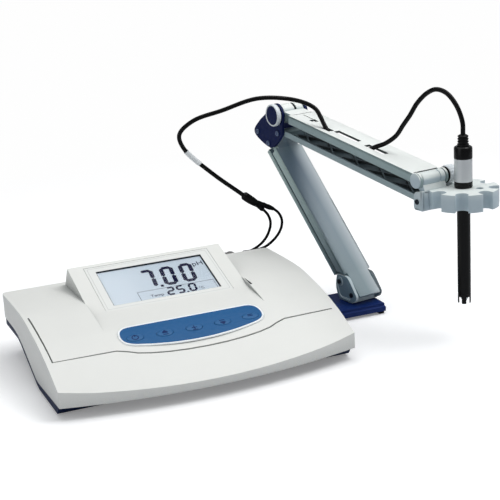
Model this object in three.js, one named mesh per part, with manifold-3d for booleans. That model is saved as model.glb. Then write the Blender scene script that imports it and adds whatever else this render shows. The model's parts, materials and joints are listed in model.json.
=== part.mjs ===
// Benchtop pH meter with a swivelling electrode arm. Millimetres, +Z up.
// X runs along the front of the meter, +Y to its back. Dimensions are drawn from the point on the bench under the
// middle of the meter; the whole object is then centred on the origin.
import * as THREE from "three";
import { mergeVertices } from "three/addons/utils/BufferGeometryUtils.js";
import Module from "manifold-3d";

const wasm = await Module();
wasm.setup();

// ---- driving dimensions -------------------------------------------------------------------------------------------

// Meter housing.
const BODY_WIDTH = 290;
const BODY_DEPTH = 205; // at the corners; the front edge bows out beyond it
const FRONT_BOW = 20;
const CORNER_RADIUS = 5;
const WALL = 2.5;
// Height of the top face, from the front edge to the back one, as [y, z].
const TOP_LINE = [
  [-125, 18], [-110, 23.5], [-102, 27.5], [-90, 33], [-80, 37.5], [-70, 41.5], [-55, 46.5], [-40, 50.7],
  [-20, 55.3], [0, 59], [16, 61.2], [32, 62], [60, 62], [102.5, 61.2],
];
// The line where the white upper shell meets the navy lower one, as [y, z].
const PARTING_LINE = [
  [-125, 12], [-102, 11.9], [-74, 11.2], [-50, 10.2], [-27, 9.6], [-19, 10.6], [-8, 14.8], [13, 24], [28, 30],
  [44, 34.6], [58, 36.3], [102.5, 37],
];
// The underside of the lower shell, as [y, z]: low at the front, lifted on legs at the back.
const UNDERSIDE_LINE = [
  [-96, 10], [-90, 2.5], [-26, 2.5], [-15, 5], [-4, 9.7], [10, 15.5], [23, 20.8], [36, 26], [47, 29.5],
  [101.5, 29.5],
];

// Display block: a wedge whose face starts at its top edge and dips into the top face in front.
const DISPLAY_HALF_WIDTH = 81.5;
const DISPLAY_TOP = { y: 80, z: 81.4 };
const DISPLAY_BACK = { y: 94, z: 60 };
const DISPLAY_TILT = THREE.MathUtils.degToRad(18.6);
const WINDOW = { halfWidth: 66, from: 5, to: 80.6, thickness: 1.5 }; // distances down the face from its top edge
const LCD = { halfWidth: 56, from: 13.4, to: 73.2 };

// Keypad: a blue pad on its own plane, flat at the back and bowed at the front.
const KEYPAD_CENTRE = { y: -57, z: 46 };
const KEYPAD_TILT = THREE.MathUtils.degToRad(17.3);
const KEYPAD_HALF_WIDTH = 71;
const KEY_PITCH = 28.8;
const KEY_SIZE = { x: 8.2, y: 4.6 }; // half sizes
const KEY_GAP = 0.35;

// Groove pressed into the top face.
const GROOVE_WIDTH = 1.6;
const GROOVE_DEPTH = 1.1;

// Arm: everything on it is drawn in its own frame, turned by ARM_YAW about the vertical. In that frame X is the
// pivot axis, starting at the side of the arm that faces left, and -Y points forward over the sample.
const ARM_ORIGIN = { x: 202.4, y: 13.1 };
const ARM_YAW = THREE.MathUtils.degToRad(10);
const ARM_WIDTH = 34;
const CHEEK = 3.2; // thickness of the plates on both sides of the arms
const INSIDE = 3.6; // where a piece that runs between the plates starts
// Pivots as [forward, height].
const BASE_FRONT = [-1.5, 21];
const ELBOW_FRONT = [-145, 163];
const LOWER_PAIR = [-20.5, 10.5]; // from the lower arm's pivots to its rear link's pivots
const BASE_REAR = [BASE_FRONT[0] + LOWER_PAIR[0], BASE_FRONT[1] + LOWER_PAIR[1]];
const ELBOW_REAR = [ELBOW_FRONT[0] + LOWER_PAIR[0], ELBOW_FRONT[1] + LOWER_PAIR[1]];
const ELBOW_TOP = [-127, 197];
const HEAD_TOP = [107, 162.5];
const UPPER_PAIR = [1, -20.5]; // from the upper arm's pivots to its lower link's pivots
const ELBOW_LOW = [ELBOW_TOP[0] + UPPER_PAIR[0], ELBOW_TOP[1] + UPPER_PAIR[1]];
const HEAD_LOW = [HEAD_TOP[0] + UPPER_PAIR[0], HEAD_TOP[1] + UPPER_PAIR[1]];
const PIN_RADIUS = 2.4;
const BOLT_RADIUS = 3;
const RUNNING_GAP = 0.3;
const SWIVEL_AXIS = [17, 13]; // in the arm's frame

// Base plate of the arm.
const PLATE = { fromX: 96, toX: 233.5, fromY: -2, toY: 57, bottom: 3, top: 11 };

// Electrode and its star-shaped holder, in the arm's frame as [x, forward].
const ELECTRODE_AXIS = [40, 128.5];
const STAR = { radius: 34, notch: 6, notchAt: 29.5, fingers: 8, bottom: 136, top: 153 };
const SHAFT_RADIUS = 6.4;
const CAP = { radius: 8.8, bottom: 153.4, top: 193 };

// Cables.
const CABLE_RADIUS = 2.3;
const LEAD_RADIUS = 1.5;
const SOCKET_HEIGHT = 49;
const BNC_X = 112;
const PROBE_SOCKET_X = 131;

// ---- materials ----------------------------------------------------------------------------------------------------

function paint(color, roughness, metalness = 0) {
  return new THREE.MeshStandardMaterial({ color, roughness, metalness });
}

const WHITE_SHELL = paint(0xe4e5e0, 0.45);
const NAVY_SHELL = paint(0x16223f, 0.5);
const NAVY_PLATE = paint(0x18306e, 0.4);
const WINDOW_FRAME = paint(0xeef0f0, 0.3);
const CLEAR = paint(0xdfe8ee, 0.05);
const LCD_GLASS = paint(0xb4c2cf, 0.15);
const KEY_BLUE = paint(0x3b6ea6, 0.45);
const BOARD_GREEN = paint(0x1d5a38, 0.5);
const RUBBER = paint(0x1b1c1e, 0.85);
const LEG_GREY = paint(0x7e888f, 0.55);
const METAL = paint(0xb9bcc0, 0.3, 1);
const ARM_GREY = paint(0x8fa1a6, 0.45);
const ARM_WHITE = paint(0xe6ebe8, 0.45);
const BLACK = paint(0x101113, 0.35);
const BULB_GLASS = paint(0xcfd8dc, 0.05);

// ---- solids -------------------------------------------------------------------------------------------------------

function toSolid(geometry) {
  const bare = geometry.index ? geometry.toNonIndexed() : geometry;
  for (const name of Object.keys(bare.attributes)) {
    if (name !== "position") bare.deleteAttribute(name);
  }
  const merged = mergeVertices(bare, 1e-3);
  return new wasm.Manifold(
    new wasm.Mesh({
      numProp: 3,
      vertProperties: merged.attributes.position.array,
      triVerts: new Uint32Array(merged.index.array),
    }),
  );
}

function toGeometry(solid) {
  const mesh = solid.getMesh();
  const geometry = new THREE.BufferGeometry();
  geometry.setAttribute("position", new THREE.BufferAttribute(mesh.vertProperties, mesh.numProp));
  geometry.setIndex(new THREE.BufferAttribute(mesh.triVerts, 1));
  geometry.computeVertexNormals();
  return geometry;
}

function addPiece(parent, name, solid, material) {
  const piece = new THREE.Mesh(toGeometry(solid), material);
  piece.name = name;
  parent.add(piece);
  return piece;
}

function union(...solids) {
  return solids.reduce((all, next) => all.add(next));
}

const X_AXIS = new THREE.Vector3(1, 0, 0);
const Y_AXIS = new THREE.Vector3(0, 1, 0);
const Z_AXIS = new THREE.Vector3(0, 0, 1);

function outline(points) {
  return new THREE.Shape(points.map(([a, b]) => new THREE.Vector2(a, b)));
}

function extruded(shape, depth, curveSegments = 8) {
  return new THREE.ExtrudeGeometry(shape, { depth, bevelEnabled: false, steps: 1, curveSegments });
}

// A shape drawn as [y, z], running along X.
function alongX(shape, fromX, toX, curveSegments) {
  const geometry = extruded(shape, toX - fromX, curveSegments);
  geometry.applyMatrix4(new THREE.Matrix4().makeBasis(Y_AXIS, Z_AXIS, X_AXIS));
  geometry.translate(fromX, 0, 0);
  return toSolid(geometry);
}

// A shape drawn as [x, y], running up Z.
function alongZ(shape, fromZ, toZ, curveSegments) {
  const geometry = extruded(shape, toZ - fromZ, curveSegments);
  geometry.translate(0, 0, fromZ);
  return toSolid(geometry);
}

function box(fromX, toX, fromY, toY, fromZ, toZ) {
  const geometry = new THREE.BoxGeometry(toX - fromX, toY - fromY, toZ - fromZ);
  geometry.translate((fromX + toX) / 2, (fromY + toY) / 2, (fromZ + toZ) / 2);
  return toSolid(geometry);
}

function rodX(y, z, radius, fromX, toX, segments = 14) {
  const geometry = new THREE.CylinderGeometry(radius, radius, toX - fromX, segments);
  geometry.rotateZ(Math.PI / 2);
  geometry.translate((fromX + toX) / 2, y, z);
  return toSolid(geometry);
}

function rodY(x, z, radius, fromY, toY, segments = 14) {
  const geometry = new THREE.CylinderGeometry(radius, radius, toY - fromY, segments);
  geometry.translate(x, (fromY + toY) / 2, z);
  return toSolid(geometry);
}

// A body of revolution about a vertical line, from its profile as [radius, z], going up.
function turned(x, y, profile, segments = 16) {
  const geometry = new THREE.LatheGeometry(
    profile.map(([radius, z]) => new THREE.Vector2(radius, z)),
    segments,
  );
  geometry.rotateX(Math.PI / 2);
  geometry.translate(x, y, 0);
  return toSolid(geometry);
}

function rodZ(x, y, radius, fromZ, toZ, segments = 14) {
  return turned(x, y, [[0, fromZ], [radius, fromZ], [radius, toZ], [0, toZ]], segments);
}

// A round cable through the points.
function cable(points, radius, steps, halfSides = 4) {
  const curve = new THREE.CatmullRomCurve3(points.map((p) => new THREE.Vector3(...p)));
  const section = new THREE.Shape();
  section.absarc(0, 0, radius, 0, 2 * Math.PI);
  const geometry = new THREE.ExtrudeGeometry(section, {
    steps,
    extrudePath: curve,
    curveSegments: halfSides,
    bevelEnabled: false,
  });
  return toSolid(geometry);
}

// ---- meter housing ------------------------------------------------------------------------------------------------

function lowered(line, drop) {
  return line.map(([y, z]) => [y, z - drop]);
}

// The region between two lines of [y, z], as a closed outline.
function between(lower, upper) {
  return outline([...lower, ...[...upper].reverse()]);
}

// The plan of the housing: square at the back, bowed at the front, inset all round.
function housingPlan(inset) {
  const halfWidth = BODY_WIDTH / 2 - inset;
  const back = BODY_DEPTH / 2 - inset;
  const front = -BODY_DEPTH / 2 + inset;
  const bowRadius = (halfWidth ** 2 + FRONT_BOW ** 2) / (2 * FRONT_BOW);
  const bowCentre = front - FRONT_BOW + bowRadius;
  const halfAngle = Math.asin(halfWidth / bowRadius);
  const radius = CORNER_RADIUS;
  const shape = new THREE.Shape();
  shape.moveTo(halfWidth, front);
  shape.lineTo(halfWidth, back - radius);
  shape.absarc(halfWidth - radius, back - radius, radius, 0, Math.PI / 2);
  shape.absarc(-halfWidth + radius, back - radius, radius, Math.PI / 2, Math.PI);
  shape.lineTo(-halfWidth, front);
  shape.absarc(0, bowCentre, bowRadius, -Math.PI / 2 - halfAngle, -Math.PI / 2 + halfAngle);
  return shape;
}

const HALF_WIDTH = BODY_WIDTH / 2;
const SCREW_PLACES = [
  [-136, 86], [136, 86], [-128, -74], [128, -74],
];

function faceHeight(y) {
  return DISPLAY_TOP.z - (DISPLAY_TOP.y - y) * Math.tan(DISPLAY_TILT);
}

// The wedge that carries the display, seen from the side; thickness 0 gives its outer skin.
function displayWedge(thickness) {
  const lean = thickness / Math.cos(DISPLAY_TILT);
  return outline([
    [0, 40],
    [0, faceHeight(0) - lean],
    [DISPLAY_TOP.y - thickness, faceHeight(DISPLAY_TOP.y - thickness) - lean],
    [DISPLAY_BACK.y - 1.6 * thickness, DISPLAY_BACK.z - thickness],
    [DISPLAY_BACK.y - 1.6 * thickness, 40],
  ]);
}

// The air above the dip where the display's face runs below the top face.
const DIP_LINE = [[-37, 51.4], [-20, 53.5], [-4, 54.9], [8, faceHeight(8)], [24, faceHeight(24)]];

function dip(drop) {
  return outline([...lowered(DIP_LINE, drop), [24, 90], [-37, 90]]);
}

// Moves a solid drawn flat onto a sloping face: X across, Y up the slope, Z out of the face.
function onSlope(solid, tilt, origin) {
  const matrix = new THREE.Matrix4().makeRotationX(tilt);
  matrix.setPosition(0, origin.y, origin.z);
  return toSolid(toGeometry(solid).applyMatrix4(matrix));
}

function onFace(solid) {
  return onSlope(solid, DISPLAY_TILT, DISPLAY_TOP);
}

function onKeypad(solid) {
  return onSlope(solid, KEYPAD_TILT, KEYPAD_CENTRE);
}

// The pad's outline on its own plane: straight at the back, bowed at the front, round at the ends.
function keypadOutline(inset) {
  const half = KEYPAD_HALF_WIDTH - inset;
  const flat = KEYPAD_HALF_WIDTH - 13;
  const back = 18.6 - inset;
  const sideMiddle = 4;
  const frontCorner = -10.2 + inset;
  const frontPull = -27 + inset;
  const shape = new THREE.Shape();
  shape.moveTo(-flat, back);
  shape.quadraticCurveTo(-half, back, -half, sideMiddle);
  shape.quadraticCurveTo(-half, frontCorner + 3.5, -flat, frontCorner);
  shape.quadraticCurveTo(0, frontPull, flat, frontCorner);
  shape.quadraticCurveTo(half, frontCorner + 3.5, half, sideMiddle);
  shape.quadraticCurveTo(half, back, flat, back);
  return shape;
}

// The groove in the top face, as plan points of its middle line.
function grooveLine() {
  const line = [[-140, 12], [-139, -67.5], [-80, -68.5]];
  const dipDepth = 15;
  const dipHalfWidth = 76;
  for (let i = 1; i < 12; i += 1) {
    const x = 4 - dipHalfWidth * Math.cos((Math.PI * i) / 12);
    line.push([x, -68.5 - dipDepth * Math.sin((Math.PI * i) / 12)]);
  }
  line.push([88, -68.5], [139, -67.5]);
  return line;
}

function ribbon(line, width) {
  const left = [];
  const right = [];
  line.forEach(([x, y], i) => {
    const [x0, y0] = line[Math.max(i - 1, 0)];
    const [x1, y1] = line[Math.min(i + 1, line.length - 1)];
    const length = Math.hypot(x1 - x0, y1 - y0);
    const across = [(-(y1 - y0) / length) * (width / 2), ((x1 - x0) / length) * (width / 2)];
    left.push([x + across[0], y + across[1]]);
    right.push([x - across[0], y - across[1]]);
  });
  return outline([...right, ...left.reverse()]);
}

function upperHousing() {
  const body = alongX(between(PARTING_LINE, TOP_LINE), -HALF_WIDTH, HALF_WIDTH)
    .intersect(alongZ(housingPlan(0), 0, 90));
  const wedge = alongX(displayWedge(0), -DISPLAY_HALF_WIDTH, DISPLAY_HALF_WIDTH);
  const dipCut = alongX(dip(0), -DISPLAY_HALF_WIDTH, DISPLAY_HALF_WIDTH);
  const inner = between(lowered(PARTING_LINE, 20), lowered(TOP_LINE, WALL));
  const hollow = alongX(inner, -HALF_WIDTH, HALF_WIDTH)
    .intersect(alongZ(housingPlan(WALL), 0, 90))
    .subtract(alongX(dip(WALL), -DISPLAY_HALF_WIDTH - WALL, DISPLAY_HALF_WIDTH + WALL));
  const wedgeHollow = alongX(
    displayWedge(WALL), -DISPLAY_HALF_WIDTH + WALL, DISPLAY_HALF_WIDTH - WALL,
  ).subtract(box(-90, 90, -10, 8, 30, 90));
  let shell = body.add(wedge).subtract(dipCut).subtract(hollow).subtract(wedgeHollow);

  const windowPocket = box(
    -WINDOW.halfWidth - 0.3, WINDOW.halfWidth + 0.3, -WINDOW.to - 0.3, -WINDOW.from + 0.3, -1.6, 20,
  );
  const windowHole = box(-LCD.halfWidth - 4, LCD.halfWidth + 4, -WINDOW.to + 2.5, -LCD.from + 4, -12, 20);
  shell = shell.subtract(onFace(windowPocket)).subtract(onFace(windowHole));

  const padPocket = alongZ(keypadOutline(-0.3), -1.2, 20);
  const padHole = alongZ(keypadOutline(3), -12, 20);
  shell = shell.subtract(onKeypad(padPocket)).subtract(onKeypad(padHole));

  const grooveFloor = alongX(
    between(lowered(TOP_LINE, 60), lowered(TOP_LINE, GROOVE_DEPTH)), -HALF_WIDTH, HALF_WIDTH,
  );
  shell = shell.subtract(alongZ(ribbon(grooveLine(), GROOVE_WIDTH), 0, 90).subtract(grooveFloor));

  // Posts that the screws from below run into.
  for (const [x, y] of SCREW_PLACES) {
    const roof = y > 0 ? 60.5 : 37.6;
    const foot = y > 0 ? 32.8 : 6.2;
    shell = shell.add(rodZ(x, y, 4, foot, roof, 10)).subtract(rodZ(x, y, 1.6, foot - 1, foot + 12, 8));
  }
  // Openings for the three sockets in the back wall.
  shell = shell.subtract(rodY(BNC_X, SOCKET_HEIGHT, 6.3, 90, 110, 16));
  shell = shell.subtract(rodY(PROBE_SOCKET_X, SOCKET_HEIGHT, 5.3, 90, 110, 16));
  return shell.subtract(rodY(-100, SOCKET_HEIGHT, 4.3, 90, 110, 16));
}

const BOARD_PILLARS = [[-100, 84], [100, 84], [-100, 62], [100, 62]];
const BOARD_UNDERSIDE = 40;
const REAR_FLOOR = 29.5 + WALL + 0.5;

function lowerHousing() {
  const gap = 0.3;
  const plan = alongZ(housingPlan(0.6), 0, 60).subtract(box(-150, 150, -130, -96, 0, 60));
  const outer = between(UNDERSIDE_LINE, lowered(PARTING_LINE, gap).slice(1));
  const solid = alongX(outer, -HALF_WIDTH, HALF_WIDTH);
  const floorLine = UNDERSIDE_LINE.slice(1).map(([y, z]) => [y, z + WALL + 0.5]);
  const inner = between(floorLine, lowered(PARTING_LINE, -10).slice(1));
  const hollow = alongX(inner, -HALF_WIDTH, HALF_WIDTH)
    .intersect(alongZ(housingPlan(WALL + 0.6), 0, 90).subtract(box(-150, 150, -130, -90, 0, 90)));
  let tray = solid.intersect(plan).subtract(hollow);
  for (const [x, y] of BOARD_PILLARS) {
    tray = tray.add(rodZ(x, y, 4, REAR_FLOOR - 1, BOARD_UNDERSIDE, 10));
  }
  for (const [x, y] of SCREW_PLACES) {
    tray = tray.subtract(rodZ(x, y, 1.9, 0, 45, 8));
    tray = tray.subtract(rodZ(x, y, 3.6, y > 0 ? 29 : 2, y > 0 ? 31.3 : 4.3, 10));
  }
  for (const [x, y] of PLATE_SCREWS) {
    tray = tray.subtract(rodZ(x, y, 2.2, 25, 45, 8));
  }
  return tray;
}

function housingScrew([x, y]) {
  const seat = y > 0 ? 31.2 : 4.2;
  return turned(x, y, [
    [0, seat - 1.5], [3.2, seat - 1.5], [3.2, seat], [1.4, seat], [1.4, seat + 11], [0, seat + 11],
  ], 10);
}

function displayWindow() {
  const frame = box(
    -WINDOW.halfWidth, WINDOW.halfWidth, -WINDOW.to, -WINDOW.from, -WINDOW.thickness, 0,
  );
  const opening = box(-LCD.halfWidth, LCD.halfWidth, -LCD.to, -LCD.from, -5, 5);
  return onFace(frame.subtract(opening));
}

function displayLens() {
  return onFace(box(
    -LCD.halfWidth + 0.3, LCD.halfWidth - 0.3, -LCD.to + 0.3, -LCD.from - 0.3, -WINDOW.thickness, -0.5,
  ));
}

function lcdPanel() {
  return onFace(box(-LCD.halfWidth - 2, LCD.halfWidth + 2, -LCD.to - 1, -LCD.from + 2, -4.6, -1.9));
}

function lcdCarrier() {
  const tray = box(-LCD.halfWidth - 3.6, LCD.halfWidth + 3.6, -LCD.to - 1.6, -LCD.from + 3.6, -8, -3);
  const seat = box(-LCD.halfWidth - 2.3, LCD.halfWidth + 2.3, -LCD.to - 1.3, -LCD.from + 2.3, -4.9, 0);
  return onFace(tray.subtract(seat));
}

function keypadPanel() {
  let pad = alongZ(keypadOutline(0), -0.9, 0.7, 10);
  for (let i = -2; i <= 2; i += 1) pad = pad.subtract(alongZ(keyOutline(i, KEY_GAP), -5, 5, 8));
  return onKeypad(pad);
}

// An oval key; the row follows the bow of the pad.
function keyOutline(index, grow) {
  const shape = new THREE.Shape();
  const y = (index * index - 4) * 0.35;
  shape.absellipse(index * KEY_PITCH, y, KEY_SIZE.x + grow, KEY_SIZE.y + grow, 0, 2 * Math.PI);
  return shape;
}

function key(index) {
  return onKeypad(alongZ(keyOutline(index, 0), -1.4, 1.2, 8));
}

function keypadBoard() {
  return onKeypad(alongZ(keypadOutline(3.5), -4.4, -2.8));
}

function mainBoard() {
  return box(-112, 88, 52, 94, BOARD_UNDERSIDE, BOARD_UNDERSIDE + 1.6);
}

// A socket in the back wall: a flange outside it, a barrel through it.
function socket(x, barrelRadius, flangeRadius) {
  const barrel = rodY(x, SOCKET_HEIGHT, barrelRadius, 92, BODY_DEPTH / 2 + 3, 14);
  const flange = rodY(x, SOCKET_HEIGHT, flangeRadius, BODY_DEPTH / 2, BODY_DEPTH / 2 + 1.2, 14);
  return barrel.add(flange);
}

function powerJack() {
  return socket(-100, 4, 5.4).subtract(rodY(-100, SOCKET_HEIGHT, 2.6, 96, 110, 10));
}

// A plug that covers its socket, with a thinner tail that the lead enters.
function plug(x, radius, length) {
  const start = BODY_DEPTH / 2 + 3.2;
  const shell = rodY(x, SOCKET_HEIGHT, radius, start, start + length, 14);
  const tail = rodY(x, SOCKET_HEIGHT, radius * 0.5, start + length - 1, start + length + 7, 12);
  return shell.add(tail);
}

function rearLeg(x) {
  return alongX(outline([[74, 0], [98, 0], [101, 29.2], [72, 29.2]]), x - 6, x + 6);
}

function frontFoot(x) {
  return rodZ(x, -62, 7, 0, 2.5, 14);
}

// ---- base plate of the arm ----------------------------------------------------------------------------------------

const PLATE_SCREWS = [[108, 59], [132, 59]];
const RISER_TOP = 29.3;

// A point of the arm's frame, as [x, forward], in the meter's frame.
function armPoint(x, forward) {
  const c = Math.cos(ARM_YAW);
  const s = Math.sin(ARM_YAW);
  return [ARM_ORIGIN.x + x * c + forward * s, ARM_ORIGIN.y + x * s - forward * c];
}

function armBasePlate() {
  const { fromX, toX, fromY, toY, bottom, top } = PLATE;
  const ledge = 3;
  const side = outline([
    [fromY, bottom], [toY + 0.5, bottom], [toY, top], [fromY + ledge, top], [fromY + ledge, top - 2.6],
    [fromY, top - 3.2],
  ]);
  const deck = alongX(side, fromX, toX);
  const tongue = box(fromX, 143, toY - 2, 69, bottom, top);
  const riser = box(100, 140, 49, 68, bottom, RISER_TOP);
  const [x, y] = armPoint(SWIVEL_AXIS[0], -SWIVEL_AXIS[1]);
  let plate = union(deck, tongue, riser).subtract(rodZ(x, y, 4.3, 0, 20)).subtract(rodZ(x, y, 8.3, 0, 6.3));
  // The raised front of the case needs room above the inner end of the plate.
  plate = plate.subtract(box(fromX - 1, HALF_WIDTH + 1, fromY - 1, 6, 0, 20));
  for (const [sx, sy] of PLATE_SCREWS) {
    plate = plate.subtract(rodZ(sx, sy, 2.2, 0, 40, 10)).subtract(rodZ(sx, sy, 4.2, 0, 8, 12));
  }
  return plate;
}

function plateScrew([x, y]) {
  return turned(x, y, [[0, 5], [3.8, 5], [3.8, 7.8], [1.8, 7.8], [1.8, 38], [0, 38]], 10);
}

function plateFoot() {
  return box(PLATE.toX - 7, PLATE.toX - 1, 0, 54, 0, PLATE.bottom - 0.05);
}

function swivelPost() {
  const [x, y] = armPoint(SWIVEL_AXIS[0], -SWIVEL_AXIS[1]);
  return turned(x, y, [
    [0, 3.4], [7.6, 3.4], [7.6, 6], [3.9, 6], [3.9, 15.9], [6.8, 15.9], [6.8, 18.2], [0, 18.2],
  ], 16);
}

// ---- arm ----------------------------------------------------------------------------------------------------------

// A point given as [forward, height] in the arm's side view, as [y, z].
function side([forward, height]) {
  return [-forward, height];
}

function sideOutline(points) {
  return outline(points.map(side));
}

// A bar's own frame: its origin on one pivot, its first axis towards another, its second one square to it.
function barFrame(from, to) {
  const length = Math.hypot(to[0] - from[0], to[1] - from[1]);
  const along = [(to[0] - from[0]) / length, (to[1] - from[1]) / length];
  const square = [-along[1], along[0]];
  const at = (s, h) => [from[0] + along[0] * s + square[0] * h, from[1] + along[1] * s + square[1] * h];
  return { length, at };
}

// A straight bar in the side view, from s0 to s1 along its frame and h0 to h1 across, and fromX to toX wide.
function bar(frame, s0, s1, h0, h1, fromX, toX) {
  const points = [frame.at(s0, h0), frame.at(s1, h0), frame.at(s1, h1), frame.at(s0, h1)];
  return alongX(sideOutline(points), fromX, toX);
}

function eye(pivot, radius, fromX, toX, segments = 14) {
  return rodX(-pivot[0], pivot[1], radius, fromX, toX, segments);
}

function bore(pivot, radius) {
  return rodX(-pivot[0], pivot[1], radius + RUNNING_GAP, -20, 60, 12);
}

// A through pin with a head on both sides of the plates.
function pin(pivot) {
  return union(
    eye(pivot, PIN_RADIUS, -1, ARM_WIDTH + 1, 10),
    eye(pivot, 3.9, -2.4, -RUNNING_GAP, 10),
    eye(pivot, 3.9, ARM_WIDTH + RUNNING_GAP, ARM_WIDTH + 2.4, 10),
  );
}

const NEAR = [0, CHEEK];
const FAR = [ARM_WIDTH - CHEEK, ARM_WIDTH];

const CHEEK_OUTLINE = [
  [-26.5, 38.2], [-28.5, 30], [-28.5, 21.5], [-24.4, 14.2], [-21, 12.3], [-0.9, 12.3], [5, 15.5], [7.2, 20.5],
  [-6.2, 37.5], [-10, 39.5], [-22.9, 39.5],
];
// A shallow panel in the outer face of each cheek, inside a raised rim.
const CHEEK_PANEL = [
  [-24.5, 35], [-26, 27], [-23, 17.5], [-19, 14.6], [-3.5, 14.6], [-8.5, 33], [-11.5, 36.8], [-22, 36.8],
];

function baseBracket() {
  let bracket = union(
    alongX(sideOutline(CHEEK_OUTLINE), ...NEAR),
    alongX(sideOutline(CHEEK_OUTLINE), ...FAR),
    box(0.5, ARM_WIDTH - 0.5, 1.5, 24, 11.6, 15.6),
  );
  bracket = bracket.subtract(alongX(sideOutline(CHEEK_PANEL), -1, 0.9));
  bracket = bracket.subtract(alongX(sideOutline(CHEEK_PANEL), ARM_WIDTH - 0.9, ARM_WIDTH + 1));
  for (const pivot of [BASE_FRONT, BASE_REAR]) {
    const bosses = eye(pivot, 5, 0.1, CHEEK).add(eye(pivot, 5, ARM_WIDTH - CHEEK, ARM_WIDTH - 0.1));
    bracket = bracket.add(bosses).subtract(bore(pivot, PIN_RADIUS));
  }
  return bracket.subtract(rodZ(...SWIVEL_AXIS, 4.2, 0, 30));
}

const LOWER_FRAME = barFrame(BASE_FRONT, ELBOW_FRONT);
const LOWER_LINK_FRAME = barFrame(BASE_REAR, ELBOW_REAR);
const UPPER_FRAME = barFrame(ELBOW_TOP, HEAD_TOP);
const UPPER_LINK_FRAME = barFrame(ELBOW_LOW, HEAD_LOW);

// The wide lower arm: a channel whose closed side faces up and forward. It is narrower where it runs between plates.
function lowerArmChannel() {
  const { length } = LOWER_FRAME;
  const web = 2.6;
  const top = -7; // the frame's second axis points back, so the web lies on its negative side
  const flange = 3.1;
  const wideFrom = 32;
  const webFrom = 23; // the sides end at a slant, clear of the base bracket
  const wideTo = length - 12.5;
  const inside = [INSIDE, ARM_WIDTH - INSIDE];
  const sidePlate = sideOutline([
    LOWER_FRAME.at(webFrom, top), LOWER_FRAME.at(wideTo, top), LOWER_FRAME.at(wideTo, flange),
    LOWER_FRAME.at(wideFrom, flange),
  ]);
  let arm = union(
    bar(LOWER_FRAME, -7, length + 6, top, top + web, ...inside),
    bar(LOWER_FRAME, webFrom, wideTo, top, top + web, 0, ARM_WIDTH),
    alongX(sidePlate, 0, 2.4),
    alongX(sidePlate, ARM_WIDTH - 2.4, ARM_WIDTH),
    bar(LOWER_FRAME, -2, wideFrom + 3, top, flange, INSIDE, INSIDE + 2.4),
    bar(LOWER_FRAME, -2, wideFrom + 3, top, flange, ARM_WIDTH - INSIDE - 2.4, ARM_WIDTH - INSIDE),
    bar(LOWER_FRAME, wideTo - 3, length + 2, top, flange, INSIDE, INSIDE + 2.4),
    bar(LOWER_FRAME, wideTo - 3, length + 2, top, flange, ARM_WIDTH - INSIDE - 2.4, ARM_WIDTH - INSIDE),
    bar(LOWER_FRAME, wideFrom, wideFrom + 2.4, top, flange, 0, ARM_WIDTH),
    bar(LOWER_FRAME, wideTo - 2.4, wideTo, top, flange, 0, ARM_WIDTH),
    eye(BASE_FRONT, 4.2, ...inside),
    eye(ELBOW_FRONT, 4.2, ...inside),
  );
  for (let i = 1; i <= 3; i += 1) {
    const s = wideFrom + ((wideTo - wideFrom) * i) / 4;
    arm = arm.add(bar(LOWER_FRAME, s - 1, s + 1, top, 1.5, 1, ARM_WIDTH - 1));
  }
  return arm.subtract(bore(BASE_FRONT, PIN_RADIUS)).subtract(bore(ELBOW_FRONT, PIN_RADIUS));
}

// The lower arm's rear link, a flat open-backed bar.
function lowerArmLink() {
  const { length } = LOWER_LINK_FRAME;
  const wideFrom = 9.5;
  const wideTo = length - 27;
  const inside = [INSIDE, ARM_WIDTH - INSIDE];
  const link = union(
    bar(LOWER_LINK_FRAME, 0, length, -2.4, -0.2, ...inside),
    bar(LOWER_LINK_FRAME, wideFrom, wideTo, -2.4, -0.2, 0, ARM_WIDTH),
    bar(LOWER_LINK_FRAME, wideFrom, wideTo, -2.4, 3, 0, 2.4),
    bar(LOWER_LINK_FRAME, wideFrom, wideTo, -2.4, 3, ARM_WIDTH - 2.4, ARM_WIDTH),
    bar(LOWER_LINK_FRAME, wideFrom, wideFrom + 2, -2.4, 3, 0, ARM_WIDTH),
    bar(LOWER_LINK_FRAME, wideTo - 2, wideTo, -2.4, 3, 0, ARM_WIDTH),
    eye(BASE_REAR, 3.6, ...inside),
    eye(ELBOW_REAR, 3.6, ...inside),
  );
  return link.subtract(bore(BASE_REAR, PIN_RADIUS - 0.05)).subtract(bore(ELBOW_REAR, PIN_RADIUS - 0.05));
}

// Outline of the elbow plate: three lobes round the link pivots, one under the clamp knob.
const PLATE_OUTLINE = [
  [-127, 209.4], [-131.7, 208.5], [-136.5, 205.2], [-148.5, 195.5], [-159.8, 188], [-170.3, 179], [-173, 175.5],
  [-173, 171.5], [-168.8, 167.6], [-159.8, 163.2], [-149.6, 159.4], [-141, 157.9], [-135.4, 159.6], [-125.1, 167.6],
  [-118.4, 174.4], [-116.6, 178.6], [-117, 184], [-114.8, 194], [-115.2, 200.5], [-118.2, 205.8], [-122.3, 208.5],
];

function elbowPlate(span) {
  return alongX(sideOutline(PLATE_OUTLINE), ...span)
    .subtract(bore(ELBOW_FRONT, PIN_RADIUS))
    .subtract(bore(ELBOW_REAR, PIN_RADIUS))
    .subtract(bore(ELBOW_LOW, PIN_RADIUS))
    .subtract(bore(ELBOW_TOP, BOLT_RADIUS));
}

// The bolt that clamps the elbow: its head is on the far side, its thread ends in the knob.
function elbowBolt() {
  return eye(ELBOW_TOP, BOLT_RADIUS, -3.9, ARM_WIDTH + 2, 12)
    .add(eye(ELBOW_TOP, 6, ARM_WIDTH + RUNNING_GAP, ARM_WIDTH + 4, 6));
}

const KNOB = { radius: 12.2, from: -6.4, to: -1.2 };

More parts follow.
